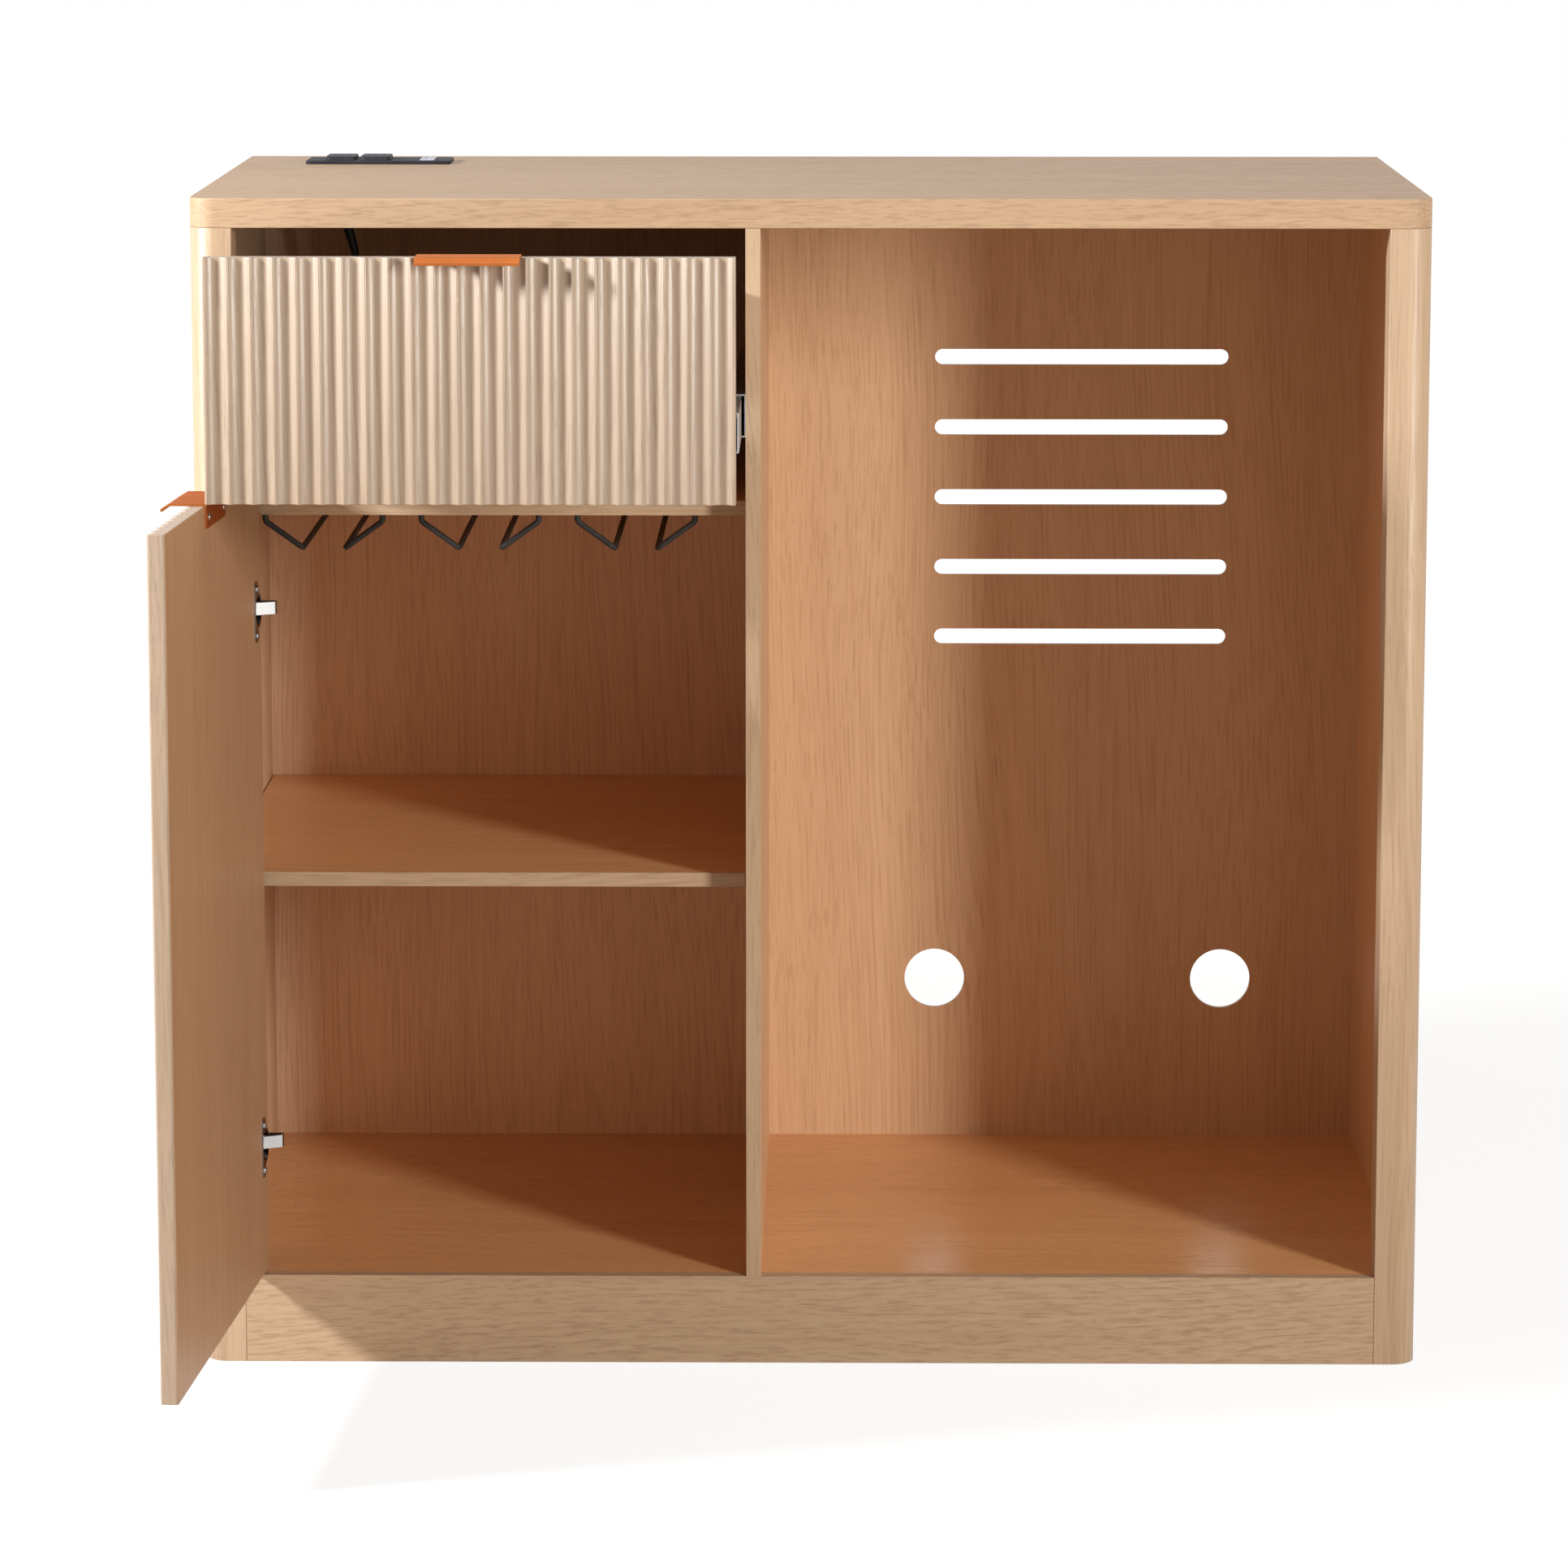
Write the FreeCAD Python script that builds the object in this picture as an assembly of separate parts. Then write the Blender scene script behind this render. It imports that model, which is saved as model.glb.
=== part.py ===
import FreeCAD, Part
import os
from math import asin, cos, pi, radians, sin, sqrt, tan

Vector = FreeCAD.Vector
os.makedirs("parts", exist_ok=True)

# Coffee bar cabinet. X runs to the right, Y to the back and Z up. The origin is on
# the floor in the middle of the carcass. All lengths are millimetres.

# Driving dimensions of the carcass
width = 1000.0
depth = 500.0
height = 962.0
top_thickness = 24.0
board = 12.0
back_board = 5.0
post_side = 35.0
post_radius = 20.0
plinth_height = 73.4
left_bay = 413.0
drawer_bay_height = 224.6
shelf_top = 405.0

# Driving dimensions of the two fronts and of the pose that is modelled
front_thickness = 14.0
reveal = 3.0
drawer_front_height = 190.0
drawer_pull_out = 242.0
door_opening_deg = 94.0

# Fits that several pieces share
fit = 0.05
overrun = 2.0
same = 0.001

x_axis = Vector(1, 0, 0)
y_axis = Vector(0, 1, 0)
z_axis = Vector(0, 0, 1)

# Planes that the pieces share
left, right = -width / 2, width / 2
front, rear = -depth / 2, depth / 2
top_under = height - top_thickness
inner_left, inner_right = left + board, right - board
post_left, post_right = left + post_side, right - post_side
post_back = front + post_side
back_face = rear - back_board
floor_top = plinth_height
floor_under = floor_top - board
divider_left = post_left + left_bay
divider_right = divider_left + board
divider_middle = divider_left + board / 2
drawer_shelf_top = top_under - drawer_bay_height
drawer_shelf_under = drawer_shelf_top - board
drawer_front_low = top_under - reveal - drawer_front_height
drawer_front_high = top_under - reveal
door_low = floor_top + reveal
door_high = drawer_front_low - reveal
front_left = post_left + reveal
front_right = divider_left - reveal

nodes = {}
tools = {}


def drill(name, tool):
    tools.setdefault(name, []).append(tool)


def block(x, y, z):
    return Part.makeBox(x[1] - x[0], y[1] - y[0], z[1] - z[0], Vector(x[0], y[0], z[0]))


def rod(radius, start, end):
    return Part.makeCylinder(radius, (end - start).Length, start, end - start)


def unit(vector):
    return vector * (1 / vector.Length)


def screw_hole(radius, length, point, out):
    return rod(radius + fit, point - out * (length + fit), point + out * overrun)


def grown(pair, amount):
    return pair[0] - amount, pair[1] + amount


def around(middle, size):
    return middle - size / 2, middle + size / 2


def runs_along(edge, axis):
    return abs(edge.tangentAt(edge.FirstParameter).dot(axis)) > 1 - same


def upright(edge):
    return runs_along(edge, z_axis)


def level_at(edge, z):
    return abs(edge.BoundBox.ZMin - z) < same and abs(edge.BoundBox.ZMax - z) < same


def placed(shape, point, towards):
    copy = shape.copy()
    copy.Placement = FreeCAD.Placement(point, FreeCAD.Rotation(z_axis, towards))
    return copy


def moved(shape, offset):
    copy = shape.copy()
    copy.translate(offset)
    return copy


def joined(shapes):
    return shapes[0].fuse(shapes[1:]).removeSplitter()


def evenly(low, high, count):
    return [low + (high - low) * step / (count - 1) for step in range(count)]


# A pan head screw with a cross recess, along Z, its shank below the origin
recess_share = 0.55
recess_width_share = 0.22


def pan_screw(head_radius, head_height, shank_radius, length):
    head = Part.makeCylinder(head_radius, head_height)
    rim = [edge for edge in head.Edges if level_at(edge, head_height)]
    head = head.makeFillet(head_height / 2, rim)
    arm = head_radius * recess_share
    half = head_radius * recess_width_share
    floor = head_height / 2
    for x, y in ((arm, half), (half, arm)):
        head = head.cut(block((-x, x), (-y, y), (floor, head_height + overrun)))
    shank = Part.makeCylinder(shank_radius, length, Vector(0, 0, -length))
    return joined([head, shank])


# A cam disc sunk in a board's face, and the bolt that it draws out of the next board
cam_radius = 6.0
cam_height = 9.5
cam_setback = 24.0
cam_play = 0.25
bolt_head_radius = 3.0
bolt_head_length = 5.0
bolt_shank_radius = 2.0
bolt_thread_radius = 2.5
bolt_grip = 9.0
cam_discs = []
cam_bolts = []


def cam_joint(carrier, mate, point, into, face):
    centre = point - into * cam_setback
    mouth = centre + face * (board / 2)
    bottom = mouth - face * cam_height
    half_head = into * (bolt_head_length / 2)
    channel_start = centre - half_head - into * cam_play
    channel = rod(bolt_head_radius + cam_play, channel_start, centre + into * cam_radius)
    cam_discs.append(rod(cam_radius, bottom, mouth).cut(channel))
    head = rod(bolt_head_radius, centre - half_head, centre + half_head)
    shank = rod(bolt_shank_radius, centre, point)
    thread = rod(bolt_thread_radius, point, point + into * bolt_grip)
    cam_bolts.append(joined([head, shank, thread]))
    drill(carrier, rod(cam_radius + fit, bottom, mouth + face * overrun))
    drill(carrier, rod(bolt_head_radius + cam_play, centre, point))
    drill(mate, rod(bolt_thread_radius + fit, point, point + into * (bolt_grip + fit)))


# A wooden dowel that is glued across a joint
dowel_radius = 3.0
dowel_length = 24.0


def dowel(first, second, point, along, found):
    half = along * (dowel_length / 2)
    found.append(rod(dowel_radius, point - half, point + half))
    play = along * fit
    for name in (first, second):
        drill(name, rod(dowel_radius + fit, point - half - play, point + half + play))


# Worktop
edge_round = 1.0


def worktop():
    shape = block((left, right), (front, rear), (top_under, height))
    shape = shape.makeFillet(post_radius, [e for e in shape.Edges if upright(e) and e.CenterOfMass.y < 0])
    rims = [e for e in shape.Edges if level_at(e, top_under) or level_at(e, height)]
    return shape.makeFillet(edge_round, [e for e in rims if e.BoundBox.YMin < rear - same])


# Front posts, rounded on the outer front corner and eased on the inner one
def post(outer, inner):
    shape = block(sorted((outer, inner)), (front, post_back), (0, top_under))
    for x, radius in ((outer, post_radius), (inner, edge_round)):
        corner = [e for e in shape.Edges if upright(e) and abs(e.CenterOfMass.x - x) < same]
        shape = shape.makeFillet(radius, [e for e in corner if e.CenterOfMass.y < post_back - same])
    return shape


# Side panels with a rabbet that takes the back panel
rabbet = 6.0
rabbet_play = 0.3


def side_panel(outer, inner):
    shape = block(sorted((outer, inner)), (post_back, rear), (0, top_under))
    step = inner + (outer - inner) * rabbet / board
    return shape.cut(block(sorted((step, inner)), (back_face, rear + overrun), (back_low, top_under)))


# Back panels: vent slots and two cable holes on the right, a cord hole on the left
back_overlap = 21.4
slot_height = 14.0
slot_length = 261.6
slot_count = 5
slot_pitch = 63.0
slot_offset = 15.0
top_slot_drop = 154.0
cable_hole_radius = 27.0
cable_hole_rise = 145.3
cable_hole_spread = 258.6
cord_hole_radius = 25.0
cord_hole_inset = 114.0
cord_hole_drop = 126.0
back_low = floor_under - back_overlap
slot_centre_x = (divider_right + inner_right) / 2 + slot_offset
top_slot_z = top_under - top_slot_drop
cable_hole_z = floor_top + cable_hole_rise


def back_panel(x0, x1):
    return block((x0, x1), (back_face, rear), (back_low, top_under - rabbet_play))


def slot(z):
    half = slot_length / 2 - slot_height / 2
    radius = slot_height / 2
    reach = (back_face - overrun, rear + overrun)
    middle = block((slot_centre_x - half, slot_centre_x + half), reach, (z - radius, z + radius))
    ends = []
    for x in (slot_centre_x - half, slot_centre_x + half):
        ends.append(rod(radius, Vector(x, reach[0], z), Vector(x, reach[1], z)))
    return joined([middle] + ends)


def back_hole(x, z, radius):
    return rod(radius, Vector(x, back_face - overrun, z), Vector(x, rear + overrun, z))


nodes["worktop"] = worktop()
nodes["left_post"] = post(left, post_left)
nodes["right_post"] = post(right, post_right)
nodes["left_side_panel"] = side_panel(left, inner_left)
nodes["right_side_panel"] = side_panel(right, inner_right)
panel_left, panel_right = inner_left - rabbet + rabbet_play, inner_right + rabbet - rabbet_play
nodes["left_back_panel"] = back_panel(panel_left, divider_middle - rabbet_play / 2)
nodes["right_back_panel"] = back_panel(divider_middle + rabbet_play / 2, panel_right)
for number in range(slot_count):
    drill("right_back_panel", slot(top_slot_z - number * slot_pitch))
for sign in (-1, 1):
    hole_x = slot_centre_x + sign * cable_hole_spread / 2
    drill("right_back_panel", back_hole(hole_x, cable_hole_z, cable_hole_radius))
cord_hole_x, cord_hole_z = left + cord_hole_inset, top_under - cord_hole_drop
drill("left_back_panel", back_hole(cord_hole_x, cord_hole_z, cord_hole_radius))

# Floor, plinths and the brace under the middle of the floor
floor_boards = block((post_left, post_right), (front + board, post_back), (floor_under, floor_top))
behind_posts = block((inner_left, inner_right), (post_back, back_face), (floor_under, floor_top))
nodes["floor_panel"] = joined([floor_boards, behind_posts])
nodes["front_plinth"] = block((post_left, post_right), (front, front + board), (0, plinth_height))
nodes["rear_plinth"] = block((inner_left, inner_right), (back_face - board, back_face), (0, floor_under))
nodes["centre_brace"] = block((-board / 2, board / 2), (front + board, back_face - board), (0, floor_under))

# Divider, fixed drawer shelf and adjustable shelf
shelf_recess = post_side
shelf_play = 1.0
nodes["centre_divider"] = block((divider_left, divider_right), (front, back_face), (floor_top, top_under))
nodes["drawer_shelf"] = block(
    (inner_left, divider_left), (front + shelf_recess, back_face), (drawer_shelf_under, drawer_shelf_top)
)
nodes["adjustable_shelf"] = block(
    (inner_left + shelf_play, divider_left - shelf_play),
    (front + shelf_recess + shelf_play, back_face - shelf_play),
    (shelf_top - board, shelf_top),
)

# Shelf pins: a stem in the board and a round peg under the shelf
pin_stem = 8.0
pin_peg = 9.0
pin_radius = 2.5
pin_front = 60.0
pins = []
for name, face, out in (("left_side_panel", inner_left, 1), ("centre_divider", divider_left, -1)):
    for y in (post_back + pin_front, back_face - pin_front):
        base = Vector(face, y, shelf_top - board - pin_radius)
        pins.append(rod(pin_radius, base - x_axis * (out * pin_stem), base + x_axis * (out * pin_peg)))
        drill(name, rod(pin_radius + fit, base - x_axis * (out * (pin_stem + fit)), base))
nodes["shelf_pins"] = Part.makeCompound(pins)

# Cam joints of the carcass
cam_front = 75.0
cam_rear = 65.0
cam_places = (post_back + cam_front, back_face - cam_rear)
for y in cam_places:
    for name, x, side in (
        ("left_side_panel", left + board / 2, 1),
        ("right_side_panel", right - board / 2, -1),
        ("centre_divider", divider_middle, -1),
    ):
        cam_joint(name, "worktop", Vector(x, y, top_under), z_axis, x_axis * side)
    cam_joint("centre_divider", "floor_panel", Vector(divider_middle, y, floor_top), -z_axis, -x_axis)
    floor_middle = floor_top - board / 2
    shelf_middle = drawer_shelf_top - board / 2
    cam_joint("floor_panel", "left_side_panel", Vector(inner_left, y, floor_middle), -x_axis, -z_axis)
    cam_joint("floor_panel", "right_side_panel", Vector(inner_right, y, floor_middle), x_axis, -z_axis)
    cam_joint("drawer_shelf", "left_side_panel", Vector(inner_left, y, shelf_middle), -x_axis, -z_axis)
    cam_joint("drawer_shelf", "centre_divider", Vector(divider_left, y, shelf_middle), x_axis, -z_axis)
nodes["cam_discs"] = Part.makeCompound(cam_discs)
nodes["cam_bolts"] = Part.makeCompound(cam_bolts)

# Dowels of the carcass
dowels = []
post_dowel_low = 120.0
post_dowel_drop = 88.0
for post_name, panel_name, x in (
    ("left_post", "left_side_panel", left + board / 2),
    ("right_post", "right_side_panel", right - board / 2),
):
    for z in evenly(post_dowel_low, top_under - post_dowel_drop, 3):
        dowel(post_name, panel_name, Vector(x, post_back, z), y_axis, dowels)
for name, x in (("left_post", left + post_side / 2), ("right_post", right - post_side / 2)):
    dowel(name, "worktop", Vector(x, front + post_side / 2, top_under), z_axis, dowels)
for name, x in (("left_post", post_left), ("right_post", post_right)):
    dowel(name, "front_plinth", Vector(x, front + board / 2, plinth_height / 2), x_axis, dowels)
for y, name in ((front + board, "front_plinth"), (back_face - board, "rear_plinth")):
    reach = dowel_length / 2 - board / 2
    inward = 1 if name == "front_plinth" else -1
    dowel(name, "centre_brace", Vector(0, y + inward * reach, floor_under / 2), y_axis, dowels)
for sign in (-1, 1):
    x = sign * (inner_right - dowel_length / 2 + board / 2)
    y = back_face - board / 2
    panel_name = "right_side_panel" if sign > 0 else "left_side_panel"
    dowel("rear_plinth", panel_name, Vector(x, y, floor_under / 2), x_axis, dowels)
nodes["dowels"] = Part.makeCompound(dowels)

# Screws of the back panels
back_head_radius = 3.2
back_head_height = 1.4
back_shank_radius = 1.4
back_screw_length = 14.0
back_screw_end = 50.0
back_stagger = 16.0
back_screw = pan_screw(back_head_radius, back_head_height, back_shank_radius, back_screw_length)
back_screws = []


def fix_back(panel, carrier, x, z):
    point = Vector(x, rear, z)
    back_screws.append(placed(back_screw, point, y_axis))
    hole = screw_hole(back_shank_radius, back_screw_length, point, y_axis)
    drill(panel, hole)
    drill(carrier, hole)


screw_heights = evenly(back_low + back_screw_end, top_under - back_screw_end, 5)
for z in screw_heights:
    fix_back("left_back_panel", "left_side_panel", inner_left - rabbet / 2, z)
    fix_back("right_back_panel", "right_side_panel", inner_right + rabbet / 2, z)
    fix_back("left_back_panel", "centre_divider", divider_middle - board / 4, z + back_stagger / 2)
    fix_back("right_back_panel", "centre_divider", divider_middle + board / 4, z - back_stagger / 2)
foot_z = (back_low + floor_under) / 2
for x in evenly(inner_left + back_screw_end, divider_left - back_screw_end, 3):
    fix_back("left_back_panel", "rear_plinth", x, foot_z)
for x in evenly(divider_right + back_screw_end, inner_right - back_screw_end, 3):
    fix_back("right_back_panel", "rear_plinth", x, foot_z)
for x in evenly(inner_left + back_screw_end, divider_left - back_screw_end, 3)[::2]:
    fix_back("left_back_panel", "drawer_shelf", x, drawer_shelf_top - board / 2)
nodes["back_panel_screws"] = Part.makeCompound(back_screws)


# A path of straight runs joined by tangent arcs, and a round tube along a path
def rounded_path(points, radius_at):
    edges = []
    radii = []
    start = points[0]
    for before, corner, after in zip(points, points[1:], points[2:]):
        incoming, outgoing = corner - before, after - corner
        turn = incoming.getAngle(outgoing)
        radius = radius_at(min(incoming.Length, outgoing.Length), turn)
        reach = radius * tan(turn / 2)
        first = corner - unit(incoming) * reach
        last = corner + unit(outgoing) * reach
        inward = unit(unit(outgoing) - unit(incoming))
        middle = corner + inward * (radius / cos(turn / 2) - radius)
        edges.append(Part.LineSegment(start, first).toShape())
        edges.append(Part.Arc(first, middle, last).toShape())
        radii.append(radius)
        start = last
    edges.append(Part.LineSegment(start, points[-1]).toShape())
    return edges, radii


def tube(edges, radius):
    first = edges[0]
    start = first.valueAt(first.FirstParameter)
    ring = Part.Circle(start, first.tangentAt(first.FirstParameter), radius).toShape()
    return Part.Wire(edges).makePipeShell([Part.Wire([ring])], True, False)


# Stemware racks: a bent wire on each side, a stop bar behind and four screwed tabs
wire_radius = 2.4
wire_bend = 5.0
rack_pitch = 127.7
rail_gap = 35.0
arm_span = 96.0
arm_drop = 7.0
rail_drop = 29.0
rack_front = 50.0
rack_length = 290.0
stop_setback = 12.0
tab_length = 18.0
tab_width = 10.0
tab_thickness = 1.6
rack_head_radius = 3.0
rack_head_height = 1.6
rack_shank_radius = 1.5
rack_screw_length = 9.0
rack_screw = pan_screw(rack_head_radius, rack_head_height, rack_shank_radius, rack_screw_length)
rack_middle = (inner_left + divider_left) / 2
rail_z = drawer_shelf_under - rail_drop
rack_screws = []


def glass_rack(centre):
    y0, y1 = front + rack_front, front + rack_front + rack_length
    end_z = drawer_shelf_under - tab_thickness / 2
    pieces = []
    for side in (-1, 1):
        arm_x, rail_x = centre + side * arm_span / 2, centre + side * rail_gap / 2
        points = [
            Vector(arm_x, y0, end_z),
            Vector(arm_x, y0, drawer_shelf_under - arm_drop),
            Vector(rail_x, y0, rail_z),
            Vector(rail_x, y1, rail_z),
            Vector(arm_x, y1, drawer_shelf_under - arm_drop),
            Vector(arm_x, y1, end_z),
        ]
        edges, radii = rounded_path(points, lambda run, turn: wire_bend)
        pieces.append(tube(edges, wire_radius))
        for y, away in ((y0, 1), (y1, -1)):
            near, far = y - away * tab_width / 2, y + away * (tab_length - tab_width / 2)
            tab_z = (drawer_shelf_under - tab_thickness, drawer_shelf_under)
            tab = block(around(arm_x, tab_width), sorted((near, far)), tab_z)
            hole = Vector(arm_x, y + away * (tab_length - tab_width), tab_z[0])
            reach = z_axis * (tab_thickness + rack_screw_length)
            tab = tab.makeFillet(tab_width / 3, [e for e in tab.Edges if upright(e)])
            pieces.append(tab.cut(rod(rack_shank_radius + fit, hole - z_axis * overrun, hole + reach)))
            rack_screws.append(placed(rack_screw, hole, -z_axis))
            pilot_end = hole + z_axis * (rack_screw_length + fit)
            drill("drawer_shelf", rod(rack_shank_radius + fit, hole, pilot_end))
    bar_y = y1 - stop_setback
    bar_z = rail_z - wire_radius * sqrt(2)
    bar_x = around(centre, rail_gap + 2 * wire_radius)
    pieces.append(rod(wire_radius, Vector(bar_x[0], bar_y, bar_z), Vector(bar_x[1], bar_y, bar_z)))
    return joined(pieces)


for name, step in (("glass_rack_left", -1), ("glass_rack_middle", 0), ("glass_rack_right", 1)):
    nodes[name] = glass_rack(rack_middle + step * rack_pitch)
nodes["rack_screws"] = Part.makeCompound(rack_screws)


# Fronts with upright flutes: each flute is a hollow arc, each crest a small round arc
flute_count = 23
flute_depth = 4.0
crest_radius = 1.5
front_corner = 2.0
front_easing = 0.8


def corner_arc(start, centre, end):
    middle = centre + unit((start - centre) + (end - centre)) * (start - centre).Length
    return Part.Arc(start, middle, end).toShape()


def fluted_front(x0, x1, z0, z1):
    pitch = (x1 - x0 - 2 * front_corner) / flute_count
    reach = (pitch ** 2 / 4 + flute_depth ** 2) / (2 * flute_depth)
    lean_share = crest_radius / reach
    side = lean_share * pitch / 2
    fall = crest_radius - lean_share * (reach - flute_depth)
    half_turn = asin(side / crest_radius) / 2
    brow_x, brow_y = crest_radius * sin(half_turn), crest_radius * (1 - cos(half_turn))
    y1 = front + front_thickness

    def at(x, y):
        return Vector(x, front + y, z0)

    first, last = x0 + front_corner, x1 - front_corner
    edges = [
        corner_arc(at(x0, front_corner), at(first, front_corner), at(first, 0)),
        Part.Arc(at(first, 0), at(first + brow_x, brow_y), at(first + side, fall)).toShape(),
    ]
    for number in range(flute_count):
        x = first + number * pitch
        brow = x + pitch
        hollow = Part.Arc(at(x + side, fall), at(x + pitch / 2, flute_depth), at(brow - side, fall))
        edges.append(hollow.toShape())
        if number < flute_count - 1:
            crest = Part.Arc(at(brow - side, fall), at(brow, 0), at(brow + side, fall))
            edges.append(crest.toShape())
    edges.append(Part.Arc(at(last - side, fall), at(last - brow_x, brow_y), at(last, 0)).toShape())
    edges.append(corner_arc(at(last, 0), at(last, front_corner), at(x1, front_corner)))
    low = front_thickness - front_corner
    edges.append(Part.LineSegment(at(x1, front_corner), at(x1, low)).toShape())
    edges.append(corner_arc(at(x1, low), at(last, low), at(last, front_thickness)))
    edges.append(Part.LineSegment(Vector(last, y1, z0), Vector(first, y1, z0)).toShape())
    edges.append(corner_arc(at(first, front_thickness), at(first, low), at(x0, low)))
    edges.append(Part.LineSegment(at(x0, low), at(x0, front_corner)).toShape())
    shape = Part.Face(Part.Wire(edges)).extrude(z_axis * (z1 - z0))
    return shape.makeFillet(front_easing, [e for e in shape.Edges if level_at(e, z0) or level_at(e, z1)])


nodes["drawer_front"] = fluted_front(front_left, front_right, drawer_front_low, drawer_front_high)
nodes["door_panel"] = fluted_front(front_left, front_right, door_low, door_high)


# A strip of sheet metal bent along a line of points (u, v) and as tall as given
def bent_strip(points, thickness, bend, tall):
    lines = [unit(b - a) for a, b in zip(points, points[1:])]
    normals = [Vector(-line.y, line.x, 0) for line in lines]
    left_side, right_side, bends = [], [], []
    for number, point in enumerate(points):
        before = normals[max(number - 1, 0)]
        after = normals[min(number, len(normals) - 1)]
        offset = (before + after) * (thickness / 2 / (1 + before.dot(after)))
        left_side.append(point + offset)
        right_side.append(point - offset)
        if 0 < number < len(points) - 1:
            turns_left = lines[number - 1].cross(lines[number]).z > 0
            bends.append((point + offset, bend if turns_left else bend + thickness))
            bends.append((point - offset, bend + thickness if turns_left else bend))
    outline = left_side + right_side[::-1]
    solid = Part.Face(Part.makePolygon(outline + outline[:1])).extrude(z_axis * tall)
    for place, radius in bends:
        near = place + z_axis * (tall / 2)
        edge = [e for e in solid.Edges if upright(e) and e.CenterOfMass.distanceToPoint(near) < same]
        solid = solid.makeFillet(radius, edge)
    return solid


# Edge pulls: a plate on the inner face, a flange over the top edge and a turned lip
pull_length = 80.0
pull_sheet = 1.6
pull_bend = 0.8
pull_plate = 17.5
pull_reach = 13.4
pull_slope = 7.5
pull_slope_deg = 30.0
pull_tip = 1.5
pull_screw_inset = 9.0
pull_screw_drop = 9.0
pull_head_radius = 2.8
pull_head_height = 1.3
pull_shank_radius = 1.5
pull_screw_length = 7.0
pull_screw = pan_screw(pull_head_radius, pull_head_height, pull_shank_radius, pull_screw_length)


def edge_pull(panel, top):
    middle = (front_left + front_right) / 2
    inner = front_thickness + pull_sheet / 2
    over = pull_sheet / 2
    lip_y = -pull_reach - pull_slope * cos(radians(pull_slope_deg))
    lip_z = over - pull_slope * sin(radians(pull_slope_deg))
    points = [
        Vector(inner, -pull_plate, 0),
        Vector(inner, over, 0),
        Vector(-pull_reach, over, 0),
        Vector(lip_y, lip_z, 0),
        Vector(lip_y, lip_z - pull_tip, 0),
    ]
    shape = bent_strip(points, pull_sheet, pull_bend, pull_length)
    turn = FreeCAD.Rotation(Vector(1, 1, 1), 120)
    shape.Placement = FreeCAD.Placement(Vector(middle - pull_length / 2, front, top), turn)
    screws = []
    back = front + front_thickness + pull_sheet
    for side in (-1, 1):
        point = Vector(middle + side * (pull_length / 2 - pull_screw_inset), back, top - pull_screw_drop)
        screws.append(placed(pull_screw, point, y_axis))
        hole = screw_hole(pull_shank_radius, pull_screw_length, point, y_axis)
        shape = shape.cut(hole)
        drill(panel, hole)
    return shape, screws


nodes["door_handle"], door_pull_screws = edge_pull("door_panel", door_high)
nodes["drawer_handle"], drawer_pull_screws = edge_pull("drawer_front", drawer_front_high)
nodes["door_handle_screws"] = Part.makeCompound(door_pull_screws)

# Concealed hinges: a cup in the door turns on a pin in the eye of a fixed arm
upper_hinge_drop = 114.5
lower_hinge_rise = 106.4
hinge_pin_inset = 9.0
hinge_pin_sink = 5.5
hinge_pin_radius = 1.25
cup_radius = 13.0
cup_inset = 3.0
cup_depth = 8.6
cup_wall = 0.8
cup_floor = 0.5
flange_thickness = 1.0
flange_rim = 1.5
ear_length = 50.0
ear_width = 13.0
ear_offset = 8.0
ear_screw_pitch = 38.0
arm_sheet = 1.6
arm_height = 10.0
arm_bend = 1.4
arm_reach = 20.0
arm_lean_deg = 26.0
arm_clearance = 0.5
eye_radius = 2.4
plate_thickness = 2.0
plate_front = 21.5
plate_back = 34.0
plate_height = 50.0
plate_screw_pitch = 32.0
arm_return = 24.5
arm_tail = 33.0
hinge_head_radius = 2.8
hinge_head_height = 1.2
hinge_shank_radius = 1.4
hinge_screw_length = 8.0
tail_screw_length = 4.0
hinge_screw = pan_screw(hinge_head_radius, hinge_head_height, hinge_shank_radius, hinge_screw_length)
tail_screw = pan_screw(hinge_head_radius, hinge_head_height, hinge_shank_radius, tail_screw_length)
door_inner = front + front_thickness
pivot = Vector(front_left + hinge_pin_inset, door_inner - hinge_pin_sink, 0)


def hinge_cup(z):
    centre = Vector(front_left + cup_inset + cup_radius, door_inner, z)
    shell = rod(cup_radius, centre - y_axis * cup_depth, centre)
    rim = rod(cup_radius + flange_rim, centre, centre + y_axis * flange_thickness)
    ear_x = centre.x + ear_offset
    ear_y = (door_inner, door_inner + flange_thickness)
    ears = block(around(ear_x, ear_width), ear_y, around(z, ear_length))
    ears = ears.makeFillet(ear_width / 3, [e for e in ears.Edges if runs_along(e, y_axis)])
    outside = centre + y_axis * overrun
    inside = rod(cup_radius - cup_wall, centre - y_axis * (cup_depth - cup_floor), outside)
    mouth_z = grown(around(z, arm_height), arm_clearance)
    mouth = block((front_left, centre.x), (pivot.y, door_inner + overrun), mouth_z)
    shape = joined([shell, rim, ears]).cut([inside, mouth])
    screws = []
    for side in (-1, 1):
        point = Vector(ear_x, door_inner + flange_thickness, z + side * ear_screw_pitch / 2)
        hole = screw_hole(hinge_shank_radius, hinge_screw_length, point, y_axis)
        shape = shape.cut(hole)
        drill("door_panel", hole)
        screws.append(placed(hinge_screw, point, y_axis))
    drill("door_panel", rod(cup_radius + fit, centre - y_axis * (cup_depth + fit), outside))
    far_side = centre.x - pivot.x + hinge_pin_radius
    half_pin = z_axis * sqrt(cup_radius ** 2 - far_side ** 2)
    at = Vector(pivot.x, pivot.y, z)
    pin = rod(hinge_pin_radius, at - half_pin, at + half_pin)
    return shape.cut(pin), pin, screws


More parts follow.
